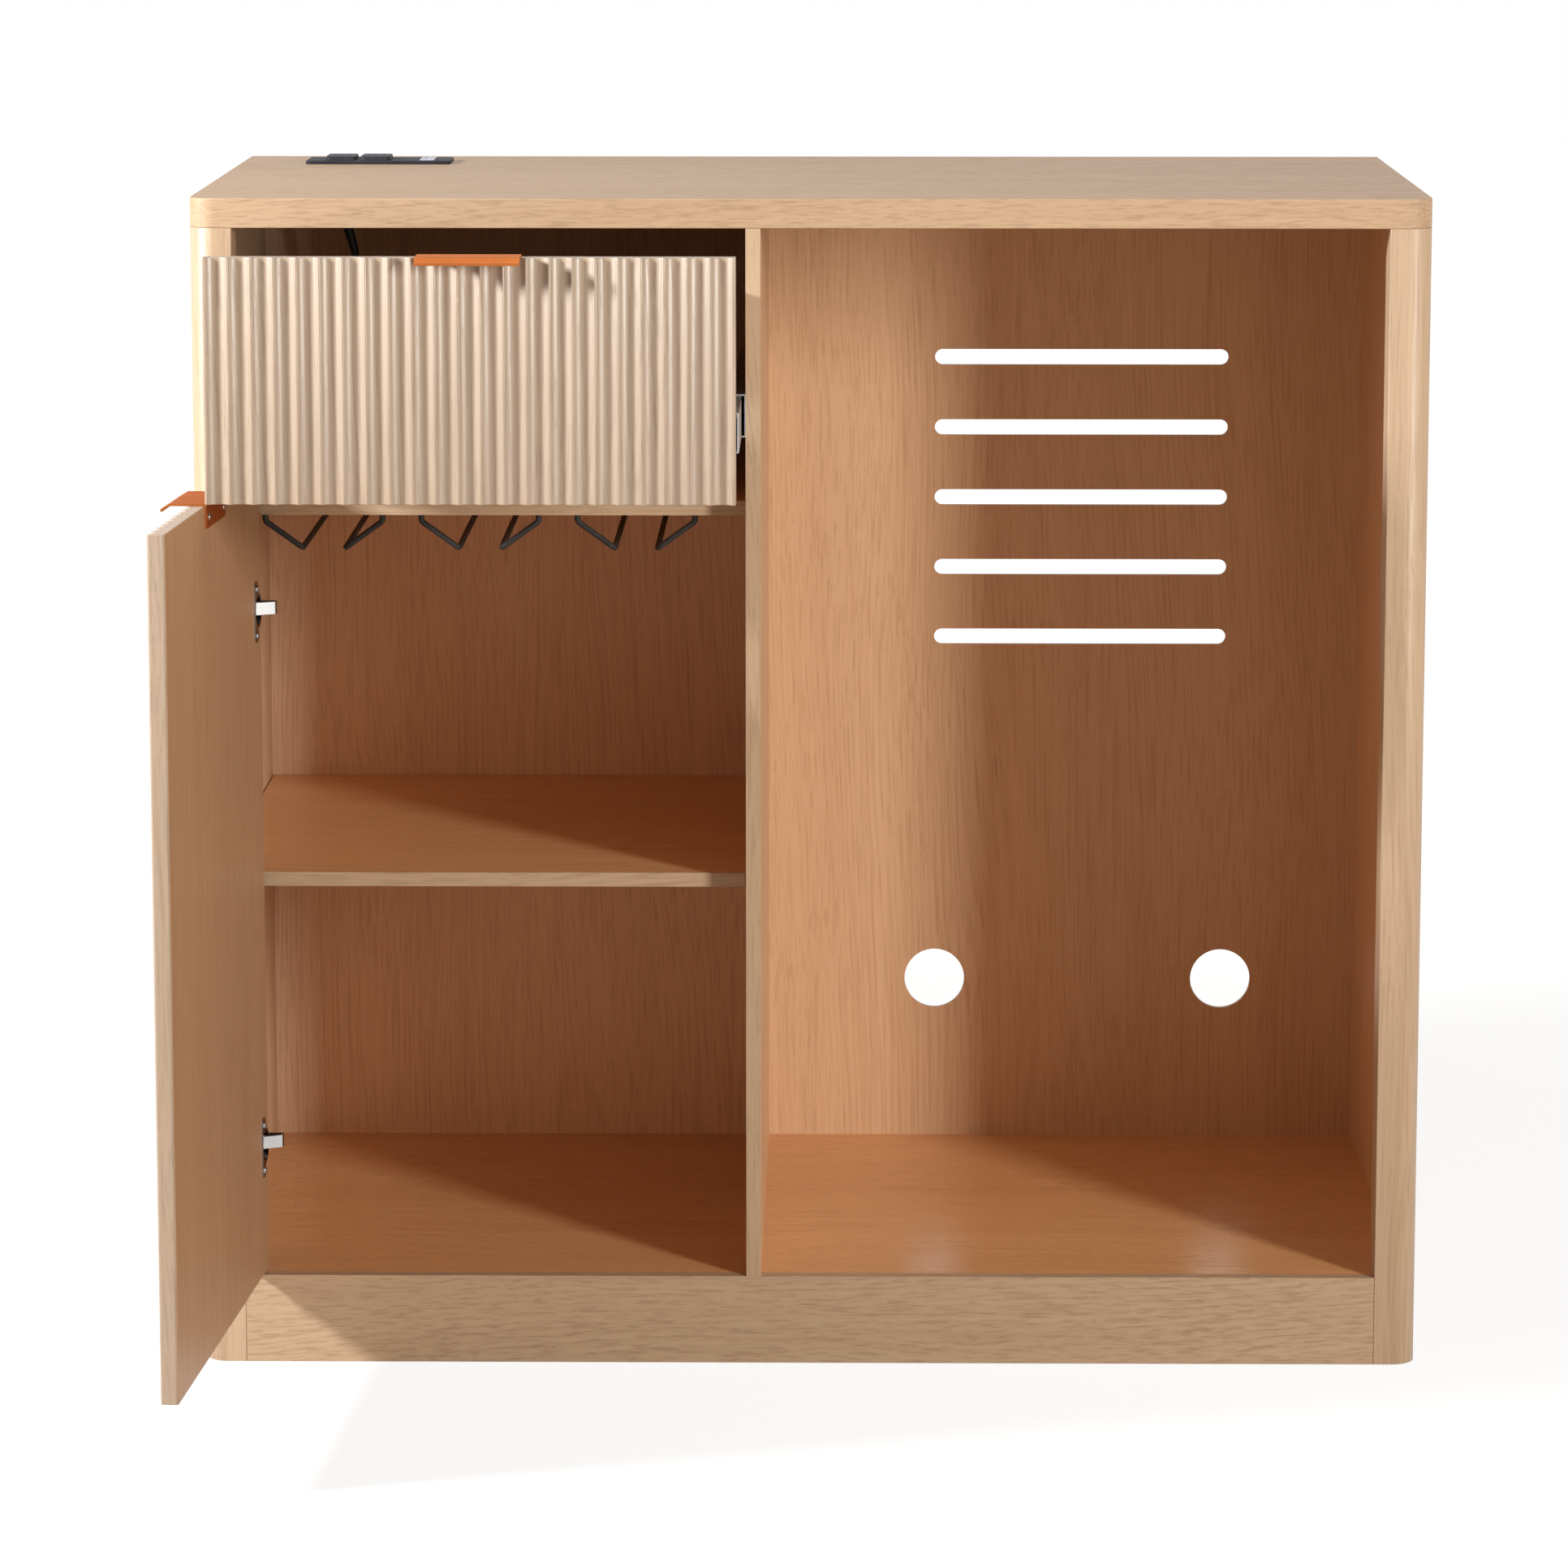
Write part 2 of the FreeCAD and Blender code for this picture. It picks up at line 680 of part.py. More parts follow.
def hinge_arm(z):
    lean = radians(arm_lean_deg)
    elbow = Vector(pivot.x + arm_reach * cos(lean), pivot.y + arm_reach * sin(lean), 0)
    tail_x = post_left + plate_thickness + arm_sheet / 2
    points = [
        pivot,
        elbow,
        Vector(elbow.x, front + arm_return, 0),
        Vector(tail_x, front + arm_return, 0),
        Vector(tail_x, front + arm_tail, 0),
    ]
    low = z - arm_height / 2
    strip = moved(bent_strip(points, arm_sheet, arm_bend, arm_height), z_axis * low)
    at = Vector(pivot.x, pivot.y, low)
    eye = rod(eye_radius, at, at + z_axis * arm_height)
    bore = rod(hinge_pin_radius + fit, at - z_axis * overrun, at + z_axis * (arm_height + overrun))
    plate_y = (front + plate_front, front + plate_back)
    plate = block((post_left, post_left + plate_thickness), plate_y, around(z, plate_height))
    arm = joined([strip, eye]).cut(bore)
    screws = []
    middle_y = front + (plate_front + plate_back) / 2
    for side in (-1, 1):
        point = Vector(post_left + plate_thickness, middle_y, z + side * plate_screw_pitch / 2)
        hole = screw_hole(hinge_shank_radius, hinge_screw_length, point, x_axis)
        plate = plate.cut(hole)
        drill("left_post", hole)
        screws.append(placed(hinge_screw, point, x_axis))
    tail_y = front + (arm_return + arm_sheet + arm_tail) / 2
    point = Vector(tail_x + arm_sheet / 2, tail_y, z)
    hole = screw_hole(hinge_shank_radius, tail_screw_length, point, x_axis)
    drill("left_post", hole)
    screws.append(placed(tail_screw, point, x_axis))
    return arm.cut(hole), plate.cut(hole), screws


hinge_pins, hinge_plates, cup_screws, arm_screws = [], [], [], []
for name, z in (("upper", door_high - upper_hinge_drop), ("lower", door_low + lower_hinge_rise)):
    cup, pin, screws = hinge_cup(z)
    nodes[name + "_hinge_cup"] = cup
    hinge_pins.append(pin)
    cup_screws += screws
    arm, plate, screws = hinge_arm(z)
    nodes[name + "_hinge_arm"] = arm
    hinge_plates.append(plate)
    arm_screws += screws
nodes["hinge_pins"] = Part.makeCompound(hinge_pins)
nodes["hinge_cup_screws"] = Part.makeCompound(cup_screws)
nodes["hinge_plates"] = Part.makeCompound(hinge_plates)
nodes["hinge_plate_screws"] = Part.makeCompound(arm_screws)

# Drawer slides: three channels that nest in each other, with a running gap between
slide_length = 350.0
slide_height = 35.0
slide_width = 12.7
slide_sheet = 1.2
slide_gap = 0.35
slide_web_step = 3.4
slide_setback = 3.0
slide_rise = 40.0
slide_centre_z = drawer_front_low + slide_rise
slide_front = front + front_thickness + slide_setback
slide_screw_inset = 35.0
slide_head_radius = 3.0
slide_head_height = 1.2
slide_shank_radius = 1.6
slide_screw_length = 10.0
slide_screw = pan_screw(slide_head_radius, slide_head_height, slide_shank_radius, slide_screw_length)
screw_places = (slide_front + slide_screw_inset, slide_front + slide_length - slide_screw_inset)


def channel(web_x, lip_x, half_height):
    side = 1 if lip_x > web_x else -1
    y = (slide_front, slide_front + slide_length)
    z = around(slide_centre_z, 2 * half_height)
    outside = block(sorted((web_x, lip_x)), y, z)
    inside_x = sorted((web_x + side * slide_sheet, lip_x + side * overrun))
    return outside.cut(block(inside_x, grown(y, overrun), grown(z, -slide_sheet)))


def slide(mount_x, side, mount_name, box_name):
    outer_half = slide_height / 2
    middle_half = outer_half - slide_sheet - slide_gap
    inner_half = middle_half - slide_sheet - slide_gap
    far_x = mount_x + side * slide_width
    outer = channel(mount_x, far_x - side * slide_sheet, outer_half)
    middle = channel(mount_x + side * slide_web_step, far_x - side * slide_sheet, middle_half)
    inner = channel(far_x, mount_x + side * (slide_web_step + slide_sheet + slide_gap), inner_half)
    outer_screws, inner_screws = [], []
    for y in screw_places:
        point = Vector(mount_x + side * slide_sheet, y, slide_centre_z)
        hole = screw_hole(slide_shank_radius, slide_screw_length, point, x_axis * side)
        outer = outer.cut(hole)
        drill(mount_name, hole)
        outer_screws.append(placed(slide_screw, point, x_axis * side))
        point = Vector(far_x - side * slide_sheet, y, slide_centre_z)
        hole = screw_hole(slide_shank_radius, slide_screw_length, point, x_axis * -side)
        inner = inner.cut(hole)
        drill(box_name, hole)
        inner_screws.append(placed(slide_screw, point, x_axis * -side))
    return outer, middle, inner, outer_screws, inner_screws


# Packer between the left side panel and the slide, because the post stands inwards
packer_height = 40.0
nodes["slide_packer"] = block(
    (inner_left, post_left),
    (post_back, slide_front + slide_length),
    around(slide_centre_z, packer_height),
)
cabinet_screws, drawer_screws = [], list(drawer_pull_screws)
for name, mount_x, side, mount_name, box_name in (
    ("left", post_left, 1, "slide_packer", "drawer_left_side"),
    ("right", divider_left, -1, "centre_divider", "drawer_right_side"),
):
    outer, middle, inner, outer_screws, inner_screws = slide(mount_x, side, mount_name, box_name)
    nodes[name + "_slide_outer"] = outer
    nodes[name + "_slide_middle"] = middle
    nodes[name + "_slide_inner"] = inner
    cabinet_screws += outer_screws
    drawer_screws += inner_screws
nodes["slide_screws"] = Part.makeCompound(cabinet_screws)

# Drawer box: two sides, a back and a bottom board in grooves
box_rise = 15.0
box_drop = 45.0
drawer_bottom_board = 5.0
groove_depth = 5.0
groove_rise = 9.0
box_left = post_left + slide_width
box_right = divider_left - slide_width
box_front = front + front_thickness
box_back = slide_front + slide_length
box_low, box_high = drawer_front_low + box_rise, drawer_front_high - box_drop
box_y, box_z = (box_front, box_back), (box_low, box_high)
bottom_z = (box_low + groove_rise, box_low + groove_rise + drawer_bottom_board)
nodes["drawer_left_side"] = block((box_left, box_left + board), box_y, box_z)
nodes["drawer_right_side"] = block((box_right - board, box_right), box_y, box_z)
nodes["drawer_back"] = block(
    (box_left + board, box_right - board), (box_back - board, box_back), (bottom_z[1], box_high)
)
groove_x = (box_left + board - groove_depth, box_right - board + groove_depth)
nodes["drawer_bottom"] = block(
    (groove_x[0] + fit, groove_x[1] - fit),
    (box_front - groove_depth + fit, box_back),
    bottom_z,
)
groove = block(groove_x, (box_front - groove_depth, box_back + overrun), (bottom_z[0] - fit, bottom_z[1]))
for name in ("drawer_left_side", "drawer_right_side", "drawer_front"):
    drill(name, groove)
drawer_dowels = []
dowel_inset = 35.0
half_dowel = dowel_length / 2
for name, x in (("drawer_left_side", box_left + board / 2), ("drawer_right_side", box_right - board / 2)):
    sunk = front_thickness - flute_depth - edge_round
    for z in (box_low + dowel_inset, box_high - dowel_inset):
        point = Vector(x, box_front + half_dowel - sunk + overrun, z)
        dowel(name, "drawer_front", point, y_axis, drawer_dowels)
box_screw_length = 30.0
box_screw = pan_screw(slide_head_radius, slide_head_height, slide_shank_radius, box_screw_length)
for name, x, side in (("drawer_left_side", box_left, 1), ("drawer_right_side", box_right, -1)):
    for z in (box_low + dowel_inset, box_high - dowel_inset):
        sunk_point = Vector(x + side * slide_head_height, box_back - board / 2, z)
        head = rod(slide_head_radius + fit, sunk_point, sunk_point - x_axis * (side * overrun))
        hole = screw_hole(slide_shank_radius, box_screw_length, sunk_point, x_axis * -side)
        drill(name, head)
        drill(name, hole)
        drill("drawer_back", hole)
        drawer_screws.append(placed(box_screw, sunk_point, x_axis * -side))
nodes["drawer_screws"] = Part.makeCompound(drawer_screws)
nodes["drawer_dowels"] = Part.makeCompound(drawer_dowels)

# Power strip let into the worktop
strip_inset = 58.0
strip_length = 126.0
strip_width = 52.0
strip_from_rear = 54.0
strip_plate = 3.0
strip_lip = 4.0
strip_depth = 45.0
strip_wall = 2.0
strip_corner = 4.0
cutout_play = 1.0
module_play = 0.1
outlet_size = 26.0
outlet_width = 36.0
outlet_rise = 3.5
outlet_depth = 20.0
outlet_inset = 17.0
outlet_step = 30.0
usb_size = 12.4
usb_width = 34.0
usb_rise = 0.8
usb_inset = 99.0
strip_left = left + strip_inset
strip_x = (strip_left, strip_left + strip_length)
strip_y = (rear - strip_from_rear - strip_width, rear - strip_from_rear)
strip_middle_y = (strip_y[0] + strip_y[1]) / 2
housing_x = (strip_x[0] + strip_lip, strip_x[1] - strip_lip)
housing_y = (strip_y[0] + strip_lip, strip_y[1] - strip_lip)
housing_low = height - strip_depth
housing = block(housing_x, housing_y, (housing_low, height))
hollow_z = (housing_low + strip_wall, height + overrun)
hollow = block(grown(housing_x, -strip_wall), grown(housing_y, -strip_wall), hollow_z)
nodes["strip_housing"] = housing.cut(hollow)
cutout_z = grown((top_under, height), overrun)
drill("worktop", block(grown(housing_x, cutout_play), grown(housing_y, cutout_play), cutout_z))
plate = block(strip_x, strip_y, (height, height + strip_plate))
plate = plate.makeFillet(strip_corner, [e for e in plate.Edges if upright(e)])
plate = plate.makeFillet(edge_round, [e for e in plate.Edges if level_at(e, height + strip_plate)])
nodes["strip_faceplate"] = plate

# Outlets: a raised block with two blade slots and a round earth hole
blade_pitch = 12.7
blade_slot = 7.5
blade_gap = 2.0
earth_radius = 2.4
earth_offset = 11.9
socket_depth = 14.0
plate_top = height + strip_plate


def module_hole(x, y):
    z = grown((height, plate_top), overrun)
    drill("strip_faceplate", block(grown(x, module_play), grown(y, module_play), z))


def outlet(x0):
    x = (x0, x0 + outlet_size)
    y = around(strip_middle_y, outlet_width)
    shape = block(x, y, (plate_top - outlet_depth, plate_top + outlet_rise))
    shape = shape.makeFillet(strip_corner, [e for e in shape.Edges if upright(e)])
    shape = shape.makeFillet(edge_round, [e for e in shape.Edges if level_at(e, plate_top + outlet_rise)])
    middle_x = (x[0] + x[1]) / 2
    z = (plate_top + outlet_rise - socket_depth, plate_top + outlet_rise + overrun)
    blade_y = strip_middle_y + earth_offset / 2
    for side in (-1, 1):
        blade_x = middle_x + side * blade_pitch / 2
        shape = shape.cut(block(around(blade_x, blade_gap), around(blade_y, blade_slot), z))
    earth = Vector(middle_x, strip_middle_y - earth_offset / 2, z[0])
    module_hole(x, y)
    return shape.cut(rod(earth_radius, earth, earth + z_axis * (z[1] - z[0])))


outlets = [outlet(strip_left + outlet_inset + step * outlet_step) for step in range(2)]
nodes["strip_outlets"] = Part.makeCompound(outlets)

# Charging module: a pale insert with two flat sockets
usb_slot = 5.0
usb_slot_width = 11.0
usb_step = 15.0
usb_x = (strip_left + usb_inset, strip_left + usb_inset + usb_size)
usb_y = around(strip_middle_y, usb_width)
usb = block(usb_x, usb_y, (plate_top - outlet_depth, plate_top + usb_rise))
usb_middle = (usb_x[0] + usb_x[1]) / 2
for side in (-1, 1):
    slot_y = strip_middle_y + side * usb_step / 2
    socket_z = (plate_top - socket_depth, plate_top + overrun)
    tongue_z = (plate_top - socket_depth, plate_top - usb_rise)
    socket = block(around(usb_middle, usb_slot), around(slot_y, usb_slot_width), socket_z)
    tongue = block(around(usb_middle, usb_slot / 3), around(slot_y, usb_slot_width * 2 / 3), tongue_z)
    usb = usb.cut(socket).fuse(tongue)
nodes["strip_usb"] = usb.removeSplitter()
module_hole(usb_x, usb_y)

# Brackets that draw the power strip down against the worktop
bracket_sheet = 1.5
bracket_foot = 12.0
bracket_leg = 18.0
bracket_width = 20.0
brackets = []
for x, side in ((housing_x[0], -1), (housing_x[1], 1)):
    y = around(strip_middle_y, bracket_width)
    leg = block(sorted((x, x + side * bracket_sheet)), y, (top_under - bracket_leg, top_under))
    foot = block(sorted((x, x + side * bracket_foot)), y, (top_under - bracket_sheet, top_under))
    brackets.append(joined([leg, foot]))
nodes["strip_brackets"] = Part.makeCompound(brackets)

# Power cord: strain relief, free stretch through the back, floor coil and plug
cord_radius = 3.0
relief_length = 36.0
relief_base_radius = 4.8
relief_tip_radius = 3.5
relief_lean_deg = 15.0
relief_inset = 31.0
neck_radius = 3.6
relief_x = strip_left + relief_inset
relief_top = Vector(relief_x, strip_middle_y, housing_low)
relief_lean = radians(relief_lean_deg)
relief_way = Vector(sin(relief_lean), 0, -cos(relief_lean))
relief_tip = relief_top + relief_way * relief_length
relief_start = relief_top - relief_way * overrun
relief_reach = relief_length + overrun
relief = Part.makeCone(relief_base_radius, relief_tip_radius, relief_reach, relief_start, relief_way)
under_z = (housing_low - strip_depth, housing_low)
relief = relief.common(block(around(relief_x, strip_width), around(strip_middle_y, strip_width), under_z))
neck_top = relief_top + z_axis * (strip_wall + overrun)
neck = rod(neck_radius, relief_top, neck_top)
nodes["cord_strain_relief"] = joined([relief, neck])
drill("strip_housing", rod(neck_radius + fit, relief_top - z_axis * fit, neck_top))

# Coil on the floor behind the cabinet: it winds in, climbs and winds out again
floor_gap = 0.3
coil_gap = 0.6
coil_turns = 4
coil_mean_radius = 33.0
coil_setback = 20.0
coil_x = -290.0
turn_pitch = 2 * cord_radius + coil_gap
coil_low = cord_radius + floor_gap
coil_inner_radius = coil_mean_radius - turn_pitch * coil_turns / 4
coil_outer_radius = coil_inner_radius + turn_pitch * coil_turns / 2
coil_y = rear + coil_setback + coil_outer_radius
coil_lead = 2 * cord_radius


def coil_point(turns):
    away = turns - coil_turns / 2
    radius = coil_inner_radius + turn_pitch * abs(away)
    climb = min(max(2 * away + 1 / 2, 0), 1)
    angle = 2 * pi * turns - pi / 2
    return Vector(coil_x + radius * cos(angle), coil_y + radius * sin(angle), coil_low + turn_pitch * climb)


def biarc(start, start_way, end, end_way):
    span = end - start
    ways = start_way + end_way
    along = span.dot(ways)
    spread = 4 - ways.dot(ways)
    reach = (sqrt(along ** 2 + spread * span.dot(span)) - along) / spread
    first, second = start + start_way * reach, end - end_way * reach
    middle = (first + second) * (1 / 2)
    arcs = []
    for a, apex, b in ((start, first, middle), (middle, second, end)):
        foot = (a + b) * (1 / 2)
        half = (b - a).Length / 2
        rise = (apex - foot).Length
        sagitta = half * tan(asin(rise / (apex - a).Length) / 2)
        arcs.append(Part.Arc(a, foot + unit(apex - foot) * sagitta, b).toShape())
    return arcs


def coil_edges():
    step_share = 1 / 4
    small_share = 1 / 1000
    stations = [number * step_share for number in range(int(coil_turns / step_share) + 1)]
    points = [coil_point(turns) for turns in stations]
    ways = []
    for turns in stations:
        before = coil_point(max(turns - small_share, 0))
        after = coil_point(min(turns + small_share, coil_turns))
        ways.append(unit(after - before))
    ways[0] = ways[-1] = x_axis
    edges = [Part.LineSegment(points[0] - x_axis * coil_lead, points[0]).toShape()]
    for a, a_way, b, b_way in zip(points, ways, points[1:], ways[1:]):
        edges += biarc(a, a_way, b, b_way)
    edges.append(Part.LineSegment(points[-1], points[-1] + x_axis * coil_lead).toShape())
    return edges


def path_length(edges):
    return sum(edge.Length for edge in edges)


def least_gap(edges, samples):
    marks = []
    walked = 0
    for edge in edges:
        for number in range(samples):
            at_length = edge.Length * number / samples
            marks.append((walked + at_length, edge.valueAt(edge.getParameterByLength(at_length))))
        walked += edge.Length
    apart = pi * coil_inner_radius
    gaps = [(p - q).Length for s, p in marks for t, q in marks if t - s > apart]
    return min(gaps) - 2 * cord_radius


coil_path = coil_edges()
nodes["cord_coil"] = tube(coil_path, cord_radius)
coil_start = coil_point(0) - x_axis * coil_lead
coil_end = coil_point(coil_turns) + x_axis * coil_lead
print("coil length", round(path_length(coil_path), 1), "least gap", round(least_gap(coil_path, 12), 3))

# The cord's free stretch, as points chosen by hand between the relief and the coil
relief_run = 21.0
coil_run = 26.0
cord_points = [
    relief_tip,
    relief_tip + relief_way * relief_run,
    Vector(-392.0, 186.0, 838.0),
    Vector(-388.0, 212.0, 818.0),
    Vector(-386.0, 245.0, 810.0),
    Vector(-385.0, 264.0, 792.0),
    Vector(-387.0, 270.0, 750.0),
    Vector(-391.0, 268.0, 672.0),
    Vector(-388.0, 271.0, 590.0),
    Vector(-392.0, 269.0, 506.0),
    Vector(-396.0, 271.0, 420.0),
    Vector(-393.0, 268.0, 334.0),
    Vector(-396.0, 270.0, 250.0),
    Vector(-402.0, 269.0, 168.0),
    Vector(-404.0, 270.0, 96.0),
    Vector(-399.0, 270.0, 44.0),
    Vector(-382.0, 270.0, 12.0),
    Vector(-350.0, 271.0, coil_low),
    coil_start - x_axis * coil_run,
    coil_start,
]
long_share = 0.45
cord_edges, cord_radii = rounded_path(cord_points, lambda run, turn: long_share * run / tan(turn / 2))
nodes["power_cord"] = tube(cord_edges, cord_radius)
section = pi * cord_radius ** 2
print("cord radii", [round(radius) for radius in cord_radii])
print("cord free length", round(path_length(cord_edges), 1))
for name, edges in (("power_cord", cord_edges), ("cord_coil", coil_path)):
    ratio = nodes[name].Volume / (section * path_length(edges))
    print(name, "volume over section times length", round(ratio, 4))
print("cord length in all", round(path_length(cord_edges) + path_length(coil_path), 1))

# Plug: a moulded body with a tapered tail, two flat blades and an earth pin
plug_tail = 30.0
plug_tail_radius = 5.2
plug_tail_end = 3.2
plug_length = 34.0
plug_width = 24.0
plug_round = 3.0
blade_length = 17.5
blade_width = 6.35
blade_thickness = 1.5
earth_pin_radius = 2.38
earth_pin_length = 20.0
blade_rise_share = 0.22
plug_half_height = coil_end.z - floor_gap
plug_start = coil_end + x_axis * plug_tail
plug_face = plug_start + x_axis * plug_length
tail = Part.makeCone(plug_tail_end, plug_tail_radius, plug_tail + overrun, coil_end, x_axis)
plug_z = around(coil_end.z, 2 * plug_half_height)
body = block((plug_start.x, plug_face.x), around(coil_end.y, plug_width), plug_z)
body = body.makeFillet(plug_round, [e for e in body.Edges if e.BoundBox.XMin < plug_face.x - same])
nodes["plug_body"] = joined([body, tail])
blades = []
blade_z = coil_end.z + blade_rise_share * plug_width
earth_z = blade_z - earth_offset
for side in (-1, 1):
    blade_y = coil_end.y + side * blade_pitch / 2
    blade_x = (plug_face.x, plug_face.x + blade_length)
    blades.append(block(blade_x, around(blade_y, blade_thickness), around(blade_z, blade_width)))
earth_start = Vector(plug_face.x, coil_end.y, earth_z)
earth_pin = rod(earth_pin_radius, earth_start, earth_start + x_axis * earth_pin_length)
tip_rim = [e for e in earth_pin.Edges if e.BoundBox.XMin > plug_face.x + same]
earth_pin = earth_pin.makeFillet(earth_pin_radius / 2, tip_rim)
nodes["plug_blades"] = Part.makeCompound(blades + [earth_pin])

# Pieces that ride on the door, on the drawer and on the slides' middle members
door_pieces = ("door_panel", "door_handle", "door_handle_screws", "hinge_pins", "hinge_cup_screws")
door_pieces += ("upper_hinge_cup", "lower_hinge_cup")
drawer_pieces = ("drawer_front", "drawer_left_side", "drawer_right_side", "drawer_back", "drawer_bottom")
drawer_pieces += ("drawer_handle", "drawer_screws", "drawer_dowels")
drawer_pieces += ("left_slide_inner", "right_slide_inner")
middle_pieces = ("left_slide_middle", "right_slide_middle")

for name, shape in nodes.items():
    if name in tools:
        shape = shape.cut(tools[name])
    if name in door_pieces:
        shape = shape.copy()
        shape.rotate(pivot, z_axis, -door_opening_deg)
    if name in drawer_pieces:
        shape = moved(shape, -y_axis * drawer_pull_out)
    if name in middle_pieces:
        shape = moved(shape, -y_axis * (drawer_pull_out / 2))
    if not shape.isValid():
        print("not valid:", name)
    shape.exportStep("parts/" + name + ".step")
print("nodes", len(nodes))
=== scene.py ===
import bpy
from math import cos, pi, radians, sin
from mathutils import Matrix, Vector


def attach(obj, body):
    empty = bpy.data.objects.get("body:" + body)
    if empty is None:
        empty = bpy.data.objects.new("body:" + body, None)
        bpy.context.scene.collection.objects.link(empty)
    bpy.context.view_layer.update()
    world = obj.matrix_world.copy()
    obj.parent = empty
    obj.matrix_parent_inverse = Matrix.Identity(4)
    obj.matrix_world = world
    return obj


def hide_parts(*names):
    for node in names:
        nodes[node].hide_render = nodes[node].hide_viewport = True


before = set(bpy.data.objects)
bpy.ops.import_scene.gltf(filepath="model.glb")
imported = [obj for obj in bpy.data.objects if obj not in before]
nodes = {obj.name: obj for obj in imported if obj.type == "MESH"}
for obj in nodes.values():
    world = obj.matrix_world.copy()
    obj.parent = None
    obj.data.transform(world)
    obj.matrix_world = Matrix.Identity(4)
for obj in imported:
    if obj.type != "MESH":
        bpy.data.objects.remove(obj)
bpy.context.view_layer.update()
millimetre = 0.001
print("frame loaded,", len(nodes), "nodes")


# Camera, as far from the cabinet as the photograph's slight perspective says
cameraView = {
    "place": (0.0301, -4.811, 1.3046), "pitch": 0.1501, "turn": 0.0112,
    "lens": 130.7, "sensor": 36, "drop": 0.1,
}


def setCamera():
    data = bpy.data.cameras.new("camera")
    data.sensor_width = cameraView["sensor"]
    data.lens = cameraView["lens"]
    data.shift_y = -cameraView["drop"]
    camera = bpy.data.objects.new("camera", data)
    camera.location = cameraView["place"]
    camera.rotation_euler = (pi / 2 - cameraView["pitch"], 0, cameraView["turn"])
    bpy.context.scene.collection.objects.link(camera)
    bpy.context.scene.camera = camera
    bpy.context.scene.view_settings.view_transform = "Standard"


setCamera()
print("camera set")


# Node tree helpers: feed links a socket to another one or sets its value
def addNode(tree, kind, **settings):
    node = tree.nodes.new(kind)
    for key, value in settings.items():
        setattr(node, key, value)
    return node


def feed(tree, socket, value):
    if isinstance(value, bpy.types.NodeSocket):
        tree.links.new(value, socket)
    elif value is not None:
        socket.default_value = value


def math(tree, operation, first, second=None, third=None, clamp=False):
    node = addNode(tree, "ShaderNodeMath", operation=operation, use_clamp=clamp)
    for socket, value in zip(node.inputs, (first, second, third)):
        feed(tree, socket, value)
    return node.outputs[0]


def stretch(tree, vector, scale):
    node = addNode(tree, "ShaderNodeVectorMath", operation="MULTIPLY")
    feed(tree, node.inputs[0], vector)
    feed(tree, node.inputs[1], scale)
    return node.outputs[0]


def noise(tree, vector, detail=2.0, roughness=0.5, scale=1.0):
    node = addNode(tree, "ShaderNodeTexNoise")
    feed(tree, node.inputs["Vector"], vector)
    feed(tree, node.inputs["Scale"], scale)
    feed(tree, node.inputs["Detail"], detail)
    feed(tree, node.inputs["Roughness"], roughness)
    return node.outputs["Fac"]


def remap(tree, value, low, high, newLow=0.0, newHigh=1.0, smooth=True):
    node = addNode(tree, "ShaderNodeMapRange", interpolation_type="SMOOTHSTEP" if smooth else "LINEAR")
    for socket, given in zip(node.inputs, (value, low, high, newLow, newHigh)):
        feed(tree, socket, given)
    return node.outputs[0]


def blendColours(tree, amount, first, second):
    node = addNode(tree, "ShaderNodeMix", data_type="RGBA")
    feed(tree, node.inputs["Factor"], amount)
    feed(tree, node.inputs[6], first)  # a Mix node's colours are its sockets 6 and 7, its vectors 4 and 5
    feed(tree, node.inputs[7], second)
    return node.outputs[2]


def startGroup(name, inputs, outputs):
    tree = bpy.data.node_groups.new(name, "ShaderNodeTree")
    for direction, sockets in (("INPUT", inputs), ("OUTPUT", outputs)):
        for socketName, kind, value in sockets:
            kind = "NodeSocket" + kind
            socket = tree.interface.new_socket(name=socketName, in_out=direction, socket_type=kind)
            if value is not None:
                socket.default_value = value
    given = addNode(tree, "NodeGroupInput").outputs
    wanted = addNode(tree, "NodeGroupOutput").inputs
    return tree, given, wanted


# Oak: the grain runs along the first axis of the vector that the group is given. Each layer of its figure
# has how often it changes along the three axes, in cycles per metre, and its detail
oakLayers = {
    "wander": ((1.7, 8.0, 8.0), 1.5),
    "wobble": ((9.0, 70.0, 70.0), 2.0),
    "fading": ((1.6, 22.0, 22.0), 1.0),
    "broad": ((0.9, 12.0, 12.0), 1.5),
    "narrow": ((2.0, 90.0, 90.0), 2.0),
    "dash": ((60.0, 1000.0, 1000.0), 1.5),
    "gather": ((6.0, 60.0, 60.0), 1.0),
}
oakFigure = {
    "drift": 0.045,  # how far the log's middle wanders, in metres
    "wobble": 0.7,  # how far a ring wavers, in rings
    "lateWood": 2.2,  # how late a ring darkens
    "lateEnd": 0.82,  # where in a ring it is darkest
    "fading": (0.35, 0.65, 0.25),  # noise at which rings fade and show, and their least share
    "fibres": 520.0,  # fibres across a metre
    "fibreDetail": 3.0,
    "fibreRoughness": 0.6,
    "streaks": (0.46, 0.66),
    "streakInRing": 0.4,
    "bands": (0.3, 0.7),
    "broadShare": 0.6,
    "gatherShare": 0.5,  # how much the pores gather in groups
    "pores": (0.9, 1.0),
    "streakDullness": 0.08,
    "poreFall": -0.7,
    "fibreRise": 0.6,
}


def oakLayer(tree, vector, name):
    scales, detail = oakLayers[name]
    return noise(tree, stretch(tree, vector, scales), detail=detail)


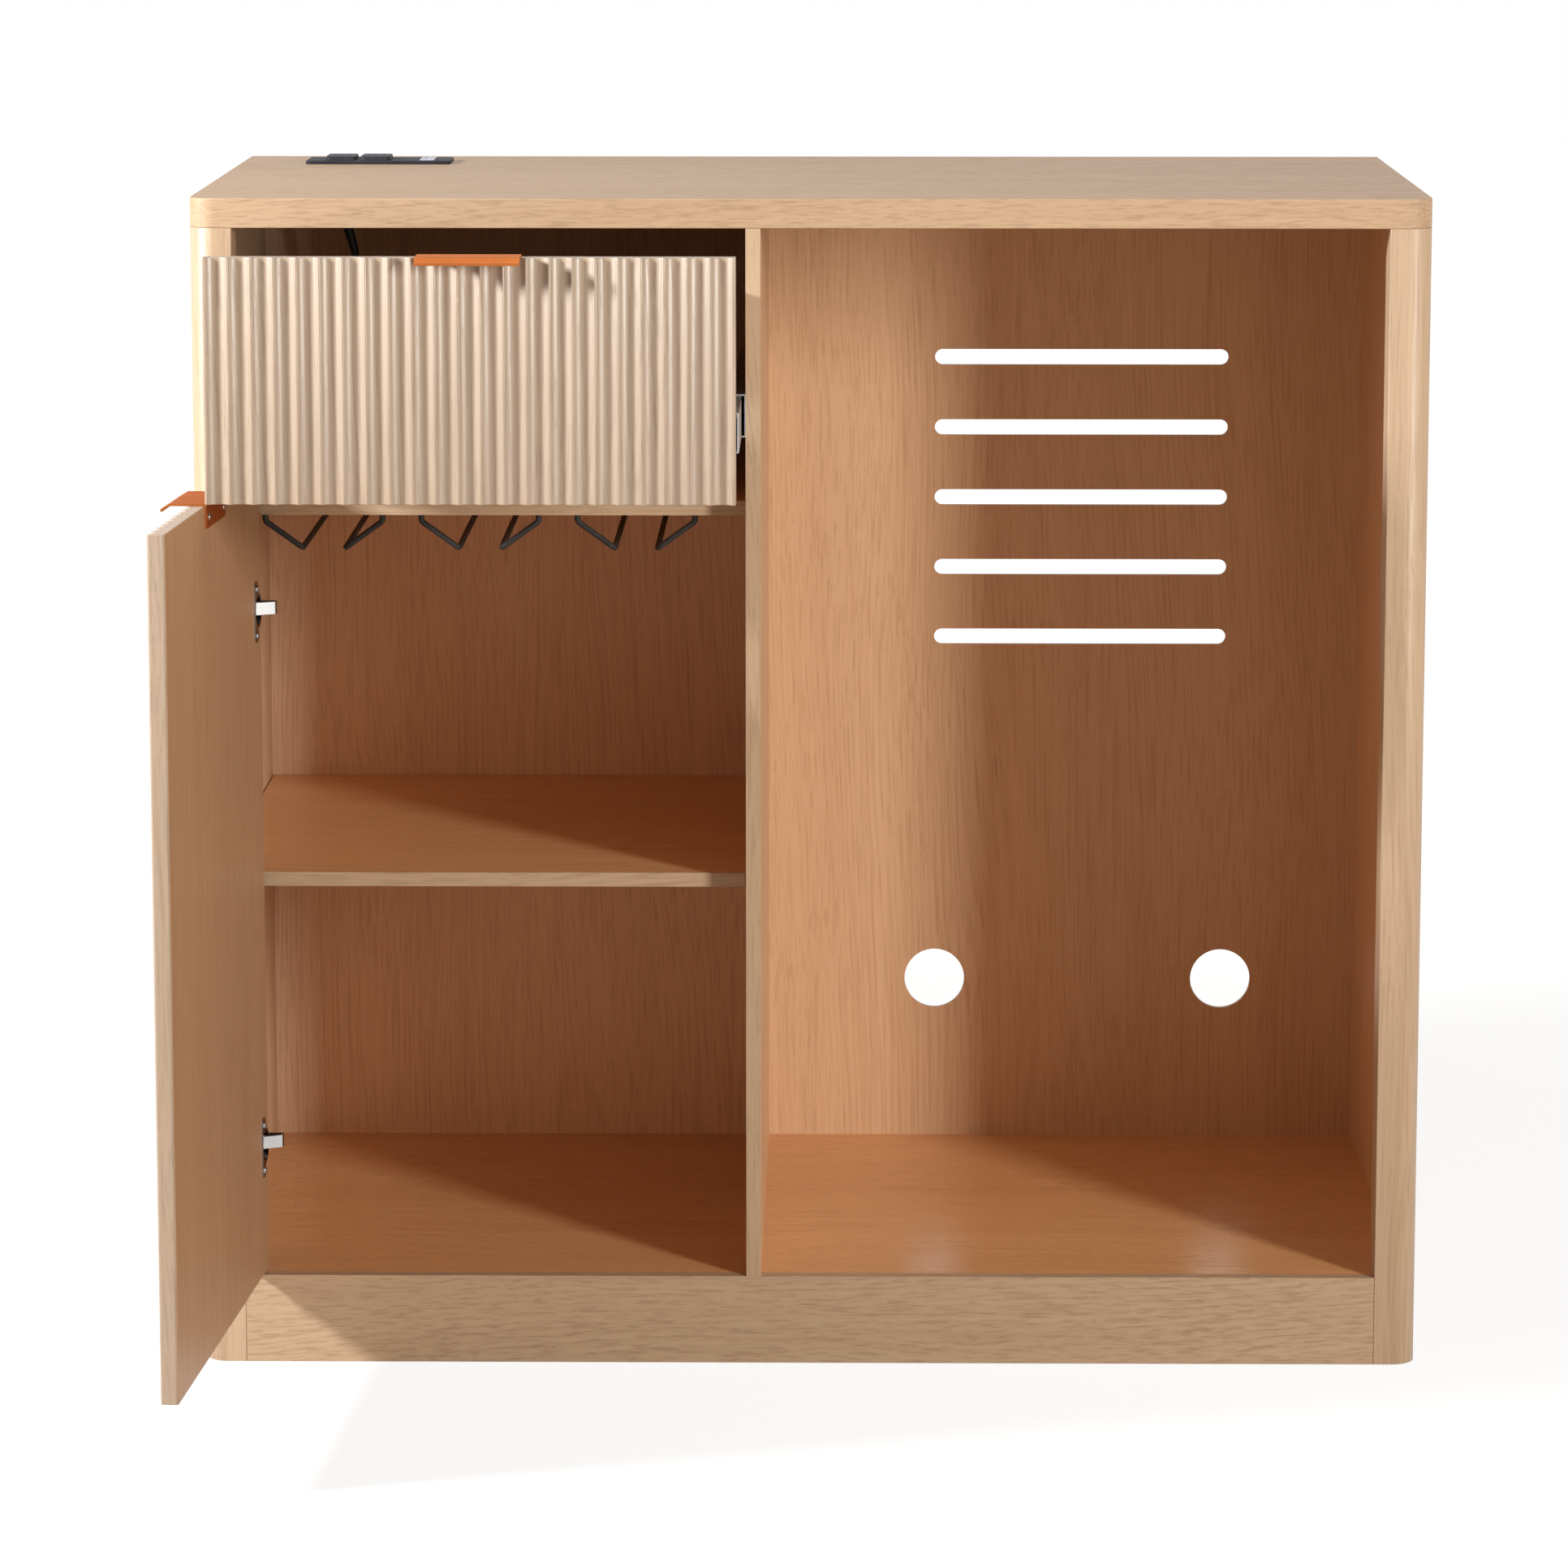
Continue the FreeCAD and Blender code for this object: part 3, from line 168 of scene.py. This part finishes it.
def makeOakGroup():
    tree, given, wanted = startGroup(
        "oakGrain",
        [
            ("Vector", "Vector", None),
            ("Pale", "Color", (0.63, 0.46, 0.31, 1)),
            ("Honey", "Color", (0.50, 0.34, 0.20, 1)),
            ("Umber", "Color", (0.25, 0.14, 0.075, 1)),
            ("Rings", "Float", 230.0),
            ("Ring Depth", "Float", 0.7),
            ("Band Depth", "Float", 0.45),
            ("Fibre Depth", "Float", 0.26),
            ("Fibre Run", "Float", 9.0),
            ("Pore Depth", "Float", 0.15),
            ("Gloss", "Float", 0.42),
        ],
        [("Color", "Color", None), ("Roughness", "Float", None), ("Height", "Float", None)],
    )
    figure = oakFigure
    scales, detail = oakLayers["wander"]
    wander = addNode(tree, "ShaderNodeTexNoise")
    feed(tree, wander.inputs["Vector"], stretch(tree, given["Vector"], scales))
    feed(tree, wander.inputs["Scale"], 1.0)
    feed(tree, wander.inputs["Detail"], detail)
    drift = addNode(tree, "ShaderNodeVectorMath", operation="MULTIPLY_ADD")
    feed(tree, drift.inputs[0], wander.outputs["Color"])
    feed(tree, drift.inputs[1], (0.0, figure["drift"], figure["drift"]))
    feed(tree, drift.inputs[2], given["Vector"])
    vector = drift.outputs[0]
    radius = addNode(tree, "ShaderNodeVectorMath", operation="LENGTH")
    feed(tree, radius.inputs[0], stretch(tree, vector, (0.0, 1.0, 1.0)))
    wobble = math(tree, "MULTIPLY", oakLayer(tree, vector, "wobble"), figure["wobble"])
    saw = math(tree, "FRACT", math(tree, "MULTIPLY_ADD", radius.outputs["Value"], given["Rings"], wobble))
    late = math(tree, "POWER", saw, figure["lateWood"])
    late = math(tree, "MULTIPLY", late, remap(tree, saw, 1.0, figure["lateEnd"]))
    low, high, least = figure["fading"]
    shown = remap(tree, oakLayer(tree, vector, "fading"), low, high, least)
    run = addNode(tree, "ShaderNodeCombineXYZ")
    for socket, value in zip(run.inputs, (given["Fibre Run"], figure["fibres"], figure["fibres"])):
        feed(tree, socket, value)
    run = stretch(tree, vector, run.outputs[0])
    fibre = noise(tree, run, detail=figure["fibreDetail"], roughness=figure["fibreRoughness"])
    streak = remap(tree, fibre, *figure["streaks"])
    ring = math(tree, "MULTIPLY_ADD", streak, figure["streakInRing"], 1 - figure["streakInRing"])
    ring = math(tree, "MULTIPLY", math(tree, "MULTIPLY", late, shown), ring)
    broad = remap(tree, oakLayer(tree, vector, "broad"), *figure["bands"])
    narrow = remap(tree, oakLayer(tree, vector, "narrow"), *figure["bands"])
    dash = oakLayer(tree, vector, "dash")
    dash = math(tree, "MULTIPLY_ADD", oakLayer(tree, vector, "gather"), figure["gatherShare"], dash)
    pore = remap(tree, dash, *figure["pores"])
    narrow = math(tree, "MULTIPLY", narrow, 1 - figure["broadShare"])
    band = math(tree, "MULTIPLY_ADD", broad, figure["broadShare"], narrow)
    tone = math(tree, "MULTIPLY", band, given["Band Depth"])
    tone = math(tree, "MULTIPLY_ADD", ring, given["Ring Depth"], tone, clamp=True)
    colour = blendColours(tree, tone, given["Pale"], given["Honey"])
    dark = math(tree, "MULTIPLY", streak, given["Fibre Depth"])
    dark = math(tree, "MULTIPLY_ADD", pore, given["Pore Depth"], dark, clamp=True)
    dullness = math(tree, "MULTIPLY_ADD", streak, figure["streakDullness"], given["Gloss"])
    rise = math(tree, "MULTIPLY", fibre, figure["fibreRise"])
    feed(tree, wanted["Color"], blendColours(tree, dark, colour, given["Umber"]))
    feed(tree, wanted["Roughness"], dullness)
    feed(tree, wanted["Height"], math(tree, "MULTIPLY_ADD", pore, figure["poreFall"], rise))
    return tree


oakGroup = makeOakGroup()
lean = 0.022  # the log lies a little askew in each board, which draws the arched figure
grainTurns = {"x": (0, lean, lean), "y": (0, lean, -pi / 2), "z": (0, pi / 2 + lean, lean)}
toneNames = ("Pale", "Honey", "Umber")
tones = {
    "outside": ((0.56, 0.40, 0.27), (0.43, 0.285, 0.175), (0.25, 0.14, 0.075)),
    "top": ((0.54, 0.37, 0.24), (0.43, 0.28, 0.165), (0.25, 0.14, 0.075)),
    # Painted light: inside, back, flat and ledge are brighter, more orange copies of the same laminate that
    # stand in
    # for the warm light bounced round the bays; back lifts the left bay's back panel, flat the floor and
    # drawer shelf, ledge the left bay's shelf
    "inside": ((0.73, 0.475, 0.29), (0.59, 0.345, 0.19), (0.38, 0.18, 0.085)),
    "back": ((0.96, 0.68, 0.46), (0.82, 0.53, 0.34), (0.46, 0.25, 0.14)),
    "flatWithPaintedLight": ((0.84, 0.475, 0.225), (0.68, 0.345, 0.14), (0.40, 0.18, 0.075)),
    "ledgeWithPaintedLight": ((0.96, 0.56, 0.28), (0.80, 0.43, 0.19), (0.46, 0.22, 0.09)),
    # Painted shade: the door's inner face is a darker copy of the laminate, standing in for the shade on it
    "doorwayWithPaintedShade": ((0.45, 0.265, 0.15), (0.35, 0.19, 0.095), (0.25, 0.125, 0.06)),
    # Painted shade: the drawer front's fluted tone is a darker copy of the door's fluted face, standing in
    # for shade on its flutes
    "flutedWithPaintedShade": ((0.43, 0.32, 0.235), (0.34, 0.235, 0.155), (0.20, 0.115, 0.065)),
    "doorFlutes": ((0.485, 0.373, 0.29), (0.37, 0.266, 0.188), (0.215, 0.13, 0.08)),
}


def toneColours(tone):
    return {name: colour + (1,) for name, colour in zip(toneNames, tones[tone])}


def newMaterial(name):
    material = bpy.data.materials.new(name)
    material.use_nodes = True
    return material, material.node_tree, material.node_tree.nodes["Principled BSDF"]


def placedVector(tree, offset=(0, 0, 0), turn=(0, 0, 0)):
    mapping = addNode(tree, "ShaderNodeMapping")
    mapping.inputs["Location"].default_value = offset
    mapping.inputs["Rotation"].default_value = turn
    tree.links.new(addNode(tree, "ShaderNodeTexCoord").outputs["Object"], mapping.inputs["Vector"])
    return mapping.outputs[0]


def bump(tree, shader, height, strength, distance):
    node = addNode(tree, "ShaderNodeBump")
    node.inputs["Strength"].default_value = strength
    node.inputs["Distance"].default_value = distance
    tree.links.new(height, node.inputs["Height"])
    tree.links.new(node.outputs[0], shader.inputs["Normal"])


def beyondPlane(tree, normal, level):
    node = addNode(tree, "ShaderNodeVectorMath", operation="DOT_PRODUCT")
    tree.links.new(addNode(tree, "ShaderNodeTexCoord").outputs["Object"], node.inputs[0])
    node.inputs[1].default_value = normal
    return math(tree, "GREATER_THAN", node.outputs["Value"], level)


# A board may differ from side to side: outsideTone beyond a plane, tone on the rest of it, which inside the
# cabinet is painted light or painted shade. Past bandedEnd, each way from the middle, the grain turns as on a
# glued edge band
oakBump = {"strength": 0.22, "distance": 0.0004}


def oak(
    name, grain, offset, tone,
    outsidePlane=None, outsideTone="outside", shine=0.35, bandedEnd=None, **changes,
):
    material, tree, shader = newMaterial(name)
    group = addNode(tree, "ShaderNodeGroup", node_tree=oakGroup)
    vector = placedVector(tree, offset, grainTurns[grain])
    if bandedEnd:
        ends = math(tree, "MAXIMUM", *[beyondPlane(tree, (side, 0, 0), bandedEnd) for side in (-1, 1)])
        band = addNode(tree, "ShaderNodeMix", data_type="VECTOR")
        feed(tree, band.inputs["Factor"], ends)
        feed(tree, band.inputs[4], vector)
        feed(tree, band.inputs[5], placedVector(tree, offset, grainTurns["y"]))
        vector = band.outputs[1]
    feed(tree, group.inputs["Vector"], vector)
    colours = toneColours(tone)
    for key, value in {**colours, **changes}.items():
        group.inputs[key.replace("_", " ")].default_value = value
    if outsidePlane:
        mask = beyondPlane(tree, *outsidePlane)
        outside = toneColours(outsideTone)
        for key in toneNames:
            feed(tree, group.inputs[key], blendColours(tree, mask, colours[key], outside[key]))
    feed(tree, shader.inputs["Base Color"], group.outputs["Color"])
    feed(tree, shader.inputs["Roughness"], group.outputs["Roughness"])
    bump(tree, shader, group.outputs["Height"], oakBump["strength"], oakBump["distance"])
    shader.inputs["Specular IOR Level"].default_value = shine
    return material


def dress(material, *names):
    for name in names:
        for slot in nodes[name].material_slots:
            slot.material = material


# Wood of each board: grain axis, place in the log, tone, where its outside begins (the normal of a plane
# and how far out it lies) and what else is its own. Inside that plane the tone is painted light or painted
# shade
doorAngle = radians(94)
doorOutside = ((-sin(doorAngle), -cos(doorAngle), 0), 0.4301)
leftOutside = ((-1, 0, 0), 0.4995)
rightOutside = ((1, 0, 0), 0.4995)
frontEdge = ((0, -1, 0), 0.2494)
shelfEdge = ((0, -1, 0), 0.2132)
oakBoards = {
    "worktop": (
        "x", (0.3, 0.02, -0.88), "top", None,
        {"bandedEnd": 0.4935, "Gloss": 0.5, "Fibre_Run": 45, "Fibre_Depth": 0.34},
    ),
    "left_post": ("z", (1.3, 0.29, -0.42), "outside", None, {"shine": 0.5}),
    "right_post": ("z", (2.1, 0.28, 0.53), "outside", None, {"shine": 0.5}),
    "left_side_panel": ("z", (3.3, 0.04, -0.43), "inside", leftOutside, {}),
    "right_side_panel": ("z", (4.4, -0.03, 0.42), "inside", rightOutside, {}),
    "left_back_panel": ("z", (5.2, -0.17, -0.22), "back", None, {}),
    "right_back_panel": ("z", (6.1, -0.16, 0.19), "inside", None, {}),
    "floor_panel": ("x", (7.4, 0.05, 0.03), "flatWithPaintedLight", None, {"Gloss": 0.2}),
    "front_plinth": (
        "x", (8.2, 0.17, -0.01), "outside", None, {"Ring_Depth": 0.9, "Fibre_Run": 45, "Fibre_Depth": 0.34},
    ),
    "rear_plinth": ("x", (9.2, -0.3, -0.01), "outside", None, {}),
    "centre_brace": ("y", (10.2, 0.08, -0.04), "outside", None, {}),
    "centre_divider": ("z", (11.5, 0.1, -0.09), "inside", frontEdge, {}),
    "drawer_shelf": ("x", (12.5, 0.0, -0.63), "flatWithPaintedLight", shelfEdge, {}),
    "adjustable_shelf": ("x", (13.1, 0.06, -0.33), "ledgeWithPaintedLight", shelfEdge, {"Gloss": 0.3}),
    "drawer_front": (
        "z", (14.1, 0.3, -0.2), "flutedWithPaintedShade", None,
        {"Ring_Depth": 0.4, "Fibre_Depth": 0.42, "Gloss": 0.38, "shine": 1.0},
    ),
    "door_panel": (
        "z", (15.1, 0.4, -0.38), "doorwayWithPaintedShade", doorOutside, {"Ring_Depth": 0.4, "outsideTone": "doorFlutes"},
    ),
    "drawer_left_side": ("y", (16.1, 0.36, -0.8), "outside", None, {}),
    "drawer_right_side": ("y", (17.1, 0.16, -0.8), "outside", None, {}),
    "drawer_back": ("x", (18.1, 0.13, -0.8), "outside", None, {}),
    "drawer_bottom": ("y", (19.1, 0.27, -0.68), "inside", None, {}),
    "slide_packer": ("y", (20.1, 0.4, -0.75), "outside", None, {}),
    "dowels": ("y", (21.1, 0.8, 0.2), "outside", None, {}),
    "drawer_dowels": ("y", (22.1, 0.8, 0.2), "outside", None, {}),
}

# Lightly rounded edges that catch the light, on the boards that show
easedEdges = {
    "boards": [
        "worktop", "left_post", "right_post", "front_plinth", "rear_plinth", "centre_divider", "drawer_shelf",
        "adjustable_shelf", "floor_panel", "drawer_front", "door_panel",
    ],
    "merge": 0.00001, "width": 0.0006, "segments": 2, "angle": radians(40),
}


def easeEdges(board):
    merge = board.modifiers.new("mergeFaces", "WELD")
    merge.merge_threshold = easedEdges["merge"]
    ease = board.modifiers.new("easedEdges", "BEVEL")
    ease.width = easedEdges["width"]
    ease.segments = easedEdges["segments"]
    ease.limit_method = "ANGLE"
    ease.angle_limit = easedEdges["angle"]
    ease.harden_normals = True


for board in easedEdges["boards"]:
    easeEdges(nodes[board])
for board, (grain, offset, tone, plane, changes) in oakBoards.items():
    dress(oak(board + "Oak", grain, offset, tone, plane, **changes), board)
print("oak laid on", len(oakBoards), "boards")


# Fine uneven surface that coated metal and moulded plastic share
skinFigure = {"clouds": 38.0, "cloudRange": (0.3, 0.7), "strength": 0.15, "distance": 0.0001}


def makeSkinGroup():
    tree, given, wanted = startGroup(
        "fineSkin",
        [
            ("Vector", "Vector", None),
            ("Base", "Color", (0.5, 0.5, 0.5, 1)),
            ("Shade", "Color", (0.4, 0.4, 0.4, 1)),
            ("Grain Size", "Float", 0.0008),
            ("Roughness", "Float", 0.4),
            ("Spread", "Float", 0.1),
        ],
        [("Color", "Color", None), ("Roughness", "Float", None), ("Height", "Float", None)],
    )
    fine = noise(tree, given["Vector"], scale=math(tree, "DIVIDE", 1.0, given["Grain Size"]))
    broad = noise(tree, given["Vector"], scale=skinFigure["clouds"])
    mask = remap(tree, broad, *skinFigure["cloudRange"])
    feed(tree, wanted["Color"], blendColours(tree, mask, given["Base"], given["Shade"]))
    rise = math(tree, "MULTIPLY", math(tree, "SUBTRACT", broad, 0.5), given["Spread"])
    feed(tree, wanted["Roughness"], math(tree, "ADD", given["Roughness"], rise, clamp=True))
    feed(tree, wanted["Height"], fine)
    return tree


skinGroup = makeSkinGroup()
skins = {
    "copperCoat": {
        "base": (0.45, 0.136, 0.034), "shade": (0.40, 0.118, 0.029),
        "metal": 0.7, "rough": 0.42, "grain": 0.0006, "tint": (1.0, 0.45, 0.2),
    },
    "nickelPlate": {
        "base": (0.50, 0.49, 0.48), "shade": (0.40, 0.39, 0.385),
        "metal": 1.0, "rough": 0.22, "grain": 0.001,
    },
    # Painted shade: the hinge cups get a darker copy of the nickel that stands in for the dark bay they
    # reflect
    "nickelWithPaintedShade": {
        "base": (0.34, 0.33, 0.32), "shade": (0.25, 0.245, 0.24),
        "metal": 1.0, "rough": 0.14, "grain": 0.001,
    },
    "zincPlate": {
        "base": (0.58, 0.59, 0.60), "shade": (0.48, 0.50, 0.52),
        "metal": 1.0, "rough": 0.34, "grain": 0.001,
    },
    "blackWire": {
        "base": (0.026, 0.024, 0.023), "shade": (0.036, 0.033, 0.031),
        "metal": 0.0, "rough": 0.6, "grain": 0.0005, "shine": 0.25,
    },
    "darkPlastic": {
        "base": (0.026, 0.022, 0.030), "shade": (0.019, 0.017, 0.023),
        "metal": 0.0, "rough": 0.6, "grain": 0.0005, "shine": 0.15,
    },
    "outletPlastic": {
        "base": (0.034, 0.030, 0.038), "shade": (0.026, 0.023, 0.030),
        "metal": 0.0, "rough": 0.55, "grain": 0.0005, "shine": 0.2,
    },
    "palePlastic": {
        "base": (0.55, 0.55, 0.62), "shade": (0.48, 0.48, 0.56),
        "metal": 0.0, "rough": 0.4, "grain": 0.0006,
    },
    "cordSheath": {
        "base": (0.012, 0.012, 0.013), "shade": (0.017, 0.017, 0.018),
        "metal": 0.0, "rough": 0.5, "grain": 0.0005,
    },
    "plugBlack": {
        "base": (0.012, 0.012, 0.013), "shade": (0.018, 0.018, 0.019),
        "metal": 0.0, "rough": 0.45, "grain": 0.0006,
    },
    "brassPlate": {
        "base": (0.78, 0.60, 0.26), "shade": (0.66, 0.48, 0.2),
        "metal": 1.0, "rough": 0.25, "grain": 0.001,
    },
}


def skin(name):
    look = skins[name]
    material, tree, shader = newMaterial(name)
    group = addNode(tree, "ShaderNodeGroup", node_tree=skinGroup)
    feed(tree, group.inputs["Vector"], placedVector(tree))
    group.inputs["Base"].default_value = look["base"] + (1,)
    group.inputs["Shade"].default_value = look["shade"] + (1,)
    group.inputs["Grain Size"].default_value = look["grain"]
    group.inputs["Roughness"].default_value = look["rough"]
    feed(tree, shader.inputs["Base Color"], group.outputs["Color"])
    feed(tree, shader.inputs["Roughness"], group.outputs["Roughness"])
    shader.inputs["Metallic"].default_value = look["metal"]
    shader.inputs["Specular IOR Level"].default_value = look.get("shine", 0.5)
    shader.inputs["Specular Tint"].default_value = look.get("tint", (1.0, 1.0, 1.0)) + (1,)
    bump(tree, shader, group.outputs["Height"], skinFigure["strength"], skinFigure["distance"])
    return material


skinUse = {
    "copperCoat": ["door_handle", "drawer_handle"],
    "nickelPlate": [
        "shelf_pins", "upper_hinge_arm", "lower_hinge_arm", "hinge_plates", "hinge_cup_screws",
        "hinge_plate_screws", "door_handle_screws",
    ],
    "nickelWithPaintedShade": ["upper_hinge_cup", "lower_hinge_cup"],
    "zincPlate": [
        "cam_discs", "cam_bolts", "back_panel_screws", "hinge_pins", "left_slide_outer", "left_slide_middle",
        "left_slide_inner", "right_slide_outer", "right_slide_middle", "right_slide_inner", "slide_screws",
        "drawer_screws", "strip_brackets",
    ],
    "blackWire": ["glass_rack_left", "glass_rack_middle", "glass_rack_right", "rack_screws"],
    "darkPlastic": ["strip_housing", "strip_faceplate"],
    "outletPlastic": ["strip_outlets"],
    "palePlastic": ["strip_usb"],
    "cordSheath": ["cord_strain_relief"],
    "plugBlack": ["plug_body"],
    "brassPlate": ["plug_blades"],
}
finishes = {name: skin(name) for name in skins}
for name, names in skinUse.items():
    dress(finishes[name], *names)
print("metal, wire and plastic dressed")


# Power cord: the free stretch listed in millimetres, then the coil on the floor
cordRoute = {
    "radius": 3.0,
    "exit": (-401.68, 170.0, 882.23),
    "free": [
        (-401.68, 170.0, 882.23), (-396.25, 170.0, 861.94), (-392.0, 186.0, 838.0), (-388.0, 212.0, 818.0),
        (-386.0, 245.0, 810.0), (-385.0, 264.0, 792.0), (-387.0, 270.0, 750.0), (-391.0, 268.0, 672.0),
        (-388.0, 271.0, 590.0), (-392.0, 269.0, 506.0), (-396.0, 271.0, 420.0), (-393.0, 268.0, 334.0),
        (-396.0, 270.0, 250.0), (-402.0, 269.0, 168.0), (-404.0, 270.0, 96.0), (-399.0, 270.0, 44.0),
        (-382.0, 270.0, 12.0), (-350.0, 271.0, 3.3), (-322.0, 270.0, 3.3), (-296.0, 270.0, 3.3),
    ],
    "length": 1.853,
    "smoothness": 8,
    "roundness": 4,
}
cordCoil = {
    "middle": (-290.0, 309.6), "inner": 26.4, "pitch": 6.6, "turns": 4, "perTurn": 16,
    "low": 3.3, "lead": 6.0,
}


# The turns spiral in and out again and climb by one in the half turn between. The smooth line runs inside
# its points, so they stand further out by that much
def coilPoints():
    step = 2 * pi / cordCoil["perTurn"]
    outward = 1 / (0.75 + 0.25 * cos(step))
    points = []
    for number in range(cordCoil["turns"] * cordCoil["perTurn"] + 1):
        turns = number / cordCoil["perTurn"]
        away = turns - cordCoil["turns"] / 2
        radius = (cordCoil["inner"] + cordCoil["pitch"] * abs(away)) * outward
        climb = min(max(2 * away + 0.5, 0), 1)
        angle = 2 * pi * turns - pi / 2
        x, y = cordCoil["middle"][0] + radius * cos(angle), cordCoil["middle"][1] + radius * sin(angle)
        points.append((x, y, cordCoil["low"] + cordCoil["pitch"] * climb))
    last = points[-1]
    return points + [(last[0] + cordCoil["lead"], last[1], last[2])]


def makeCord():
    points = cordRoute["free"] + coilPoints()
    curve = bpy.data.curves.new("power_lead", "CURVE")
    curve.dimensions = "3D"
    spline = curve.splines.new("NURBS")
    spline.points.add(len(points) - 1)
    for point, place in zip(spline.points, points):
        point.co = [value * millimetre for value in place] + [1]
    spline.order_u = 3
    spline.use_endpoint_u = True
    curve.resolution_u = cordRoute["smoothness"]
    curve.bevel_depth = cordRoute["radius"] * millimetre
    curve.bevel_resolution = cordRoute["roundness"]
    curve.use_fill_caps = True
    lead = bpy.data.objects.new("power_lead", curve)
    bpy.context.scene.collection.objects.link(lead)
    curve.materials.append(finishes["cordSheath"])
    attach(lead, "root")
    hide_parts("power_cord", "cord_coil")


makeCord()
print("cord laid")


# White floor that keeps a soft shadow, and a white surround behind it. What the camera and reflections don't
# see of them is warm and dim, as the light that a room throws back
studio = {
    "floorSize": 30.0, "floorDrop": 0.0005, "floorTone": 0.2, "floorRoughness": 0.9, "floorShine": 0.1,
    "near": 0.9, "far": 2.6, "glowNear": 0.84, "glowFar": 1.0,
    "surround": 0.13, "surroundColour": (1.0, 0.66, 0.42), "bounce": (0.40, 0.30, 0.21),
}


def rayIsSeen(tree):
    rays = addNode(tree, "ShaderNodeLightPath").outputs
    seen = math(tree, "MAXIMUM", rays["Is Camera Ray"], rays["Is Glossy Ray"])
    return math(tree, "MAXIMUM", seen, rays["Is Transmission Ray"])


def makeFloor():
    bpy.ops.object.select_all(action="DESELECT")
    bpy.ops.mesh.primitive_plane_add(size=studio["floorSize"], location=(0, 0, -studio["floorDrop"]))
    floor = bpy.context.object
    floor.name = "studio_floor"
    material, tree, shader = newMaterial("studioFloor")
    lit = blendColours(tree, rayIsSeen(tree), studio["bounce"] + (1,), [studio["floorTone"]] * 3 + [1])
    feed(tree, shader.inputs["Base Color"], lit)
    shader.inputs["Roughness"].default_value = studio["floorRoughness"]
    shader.inputs["Specular IOR Level"].default_value = studio["floorShine"]
    shader.inputs["Emission Color"].default_value = (1, 1, 1, 1)
    reach = addNode(tree, "ShaderNodeVectorMath", operation="LENGTH")
    feed(tree, reach.inputs[0], placedVector(tree))
    spread = [studio[key] for key in ("near", "far", "glowNear", "glowFar")]
    glow = remap(tree, reach.outputs["Value"], *spread)
    feed(tree, shader.inputs["Emission Strength"], math(tree, "MULTIPLY", rayIsSeen(tree), glow))
    floor.data.materials.append(material)


def makeSurround():
    world = bpy.data.worlds.new("surround")
    world.use_nodes = True
    bpy.context.scene.world = world
    tree = world.node_tree
    background = tree.nodes["Background"]
    seen = rayIsSeen(tree)
    colour = blendColours(tree, seen, studio["surroundColour"] + (1,), (1, 1, 1, 1))
    feed(tree, background.inputs["Color"], colour)
    strength = remap(tree, seen, 0.0, 1.0, studio["surround"], 1.0, smooth=False)
    feed(tree, background.inputs["Strength"], strength)


# Soft lamps: (place, aim, width, height, power, colour)
lamps = {
    "leftKey": ((-2.44, -1.18, 1.59), (-0.3, -0.4, 0.6), 0.3, 0.3, 115.0, (0.96, 1.0, 1.0)),
    "rightKey": ((2.5, -3.1, 1.35), (0.1, 0.0, 0.5), 0.45, 1.3, 116.0, (1.0, 0.99, 0.93)),
    "overhead": ((0.0, -0.2, 3.2), (0.0, 0.0, 0.9), 2.2, 2.2, 18.0, (1.0, 1.0, 1.0)),
}


def makeLamp(name, place, aim, width, height, power, colour):
    data = bpy.data.lights.new(name, "AREA")
    data.shape = "RECTANGLE"
    data.size = width
    data.size_y = height
    data.energy = power
    data.color = colour
    lamp = bpy.data.objects.new(name, data)
    lamp.location = place
    way = [a - b for a, b in zip(aim, place)]
    lamp.rotation_euler = Vector(way).to_track_quat("-Z", "Y").to_euler()
    bpy.context.scene.collection.objects.link(lamp)


makeFloor()
makeSurround()
for name, values in lamps.items():
    makeLamp(name, *values)
print("studio lit")
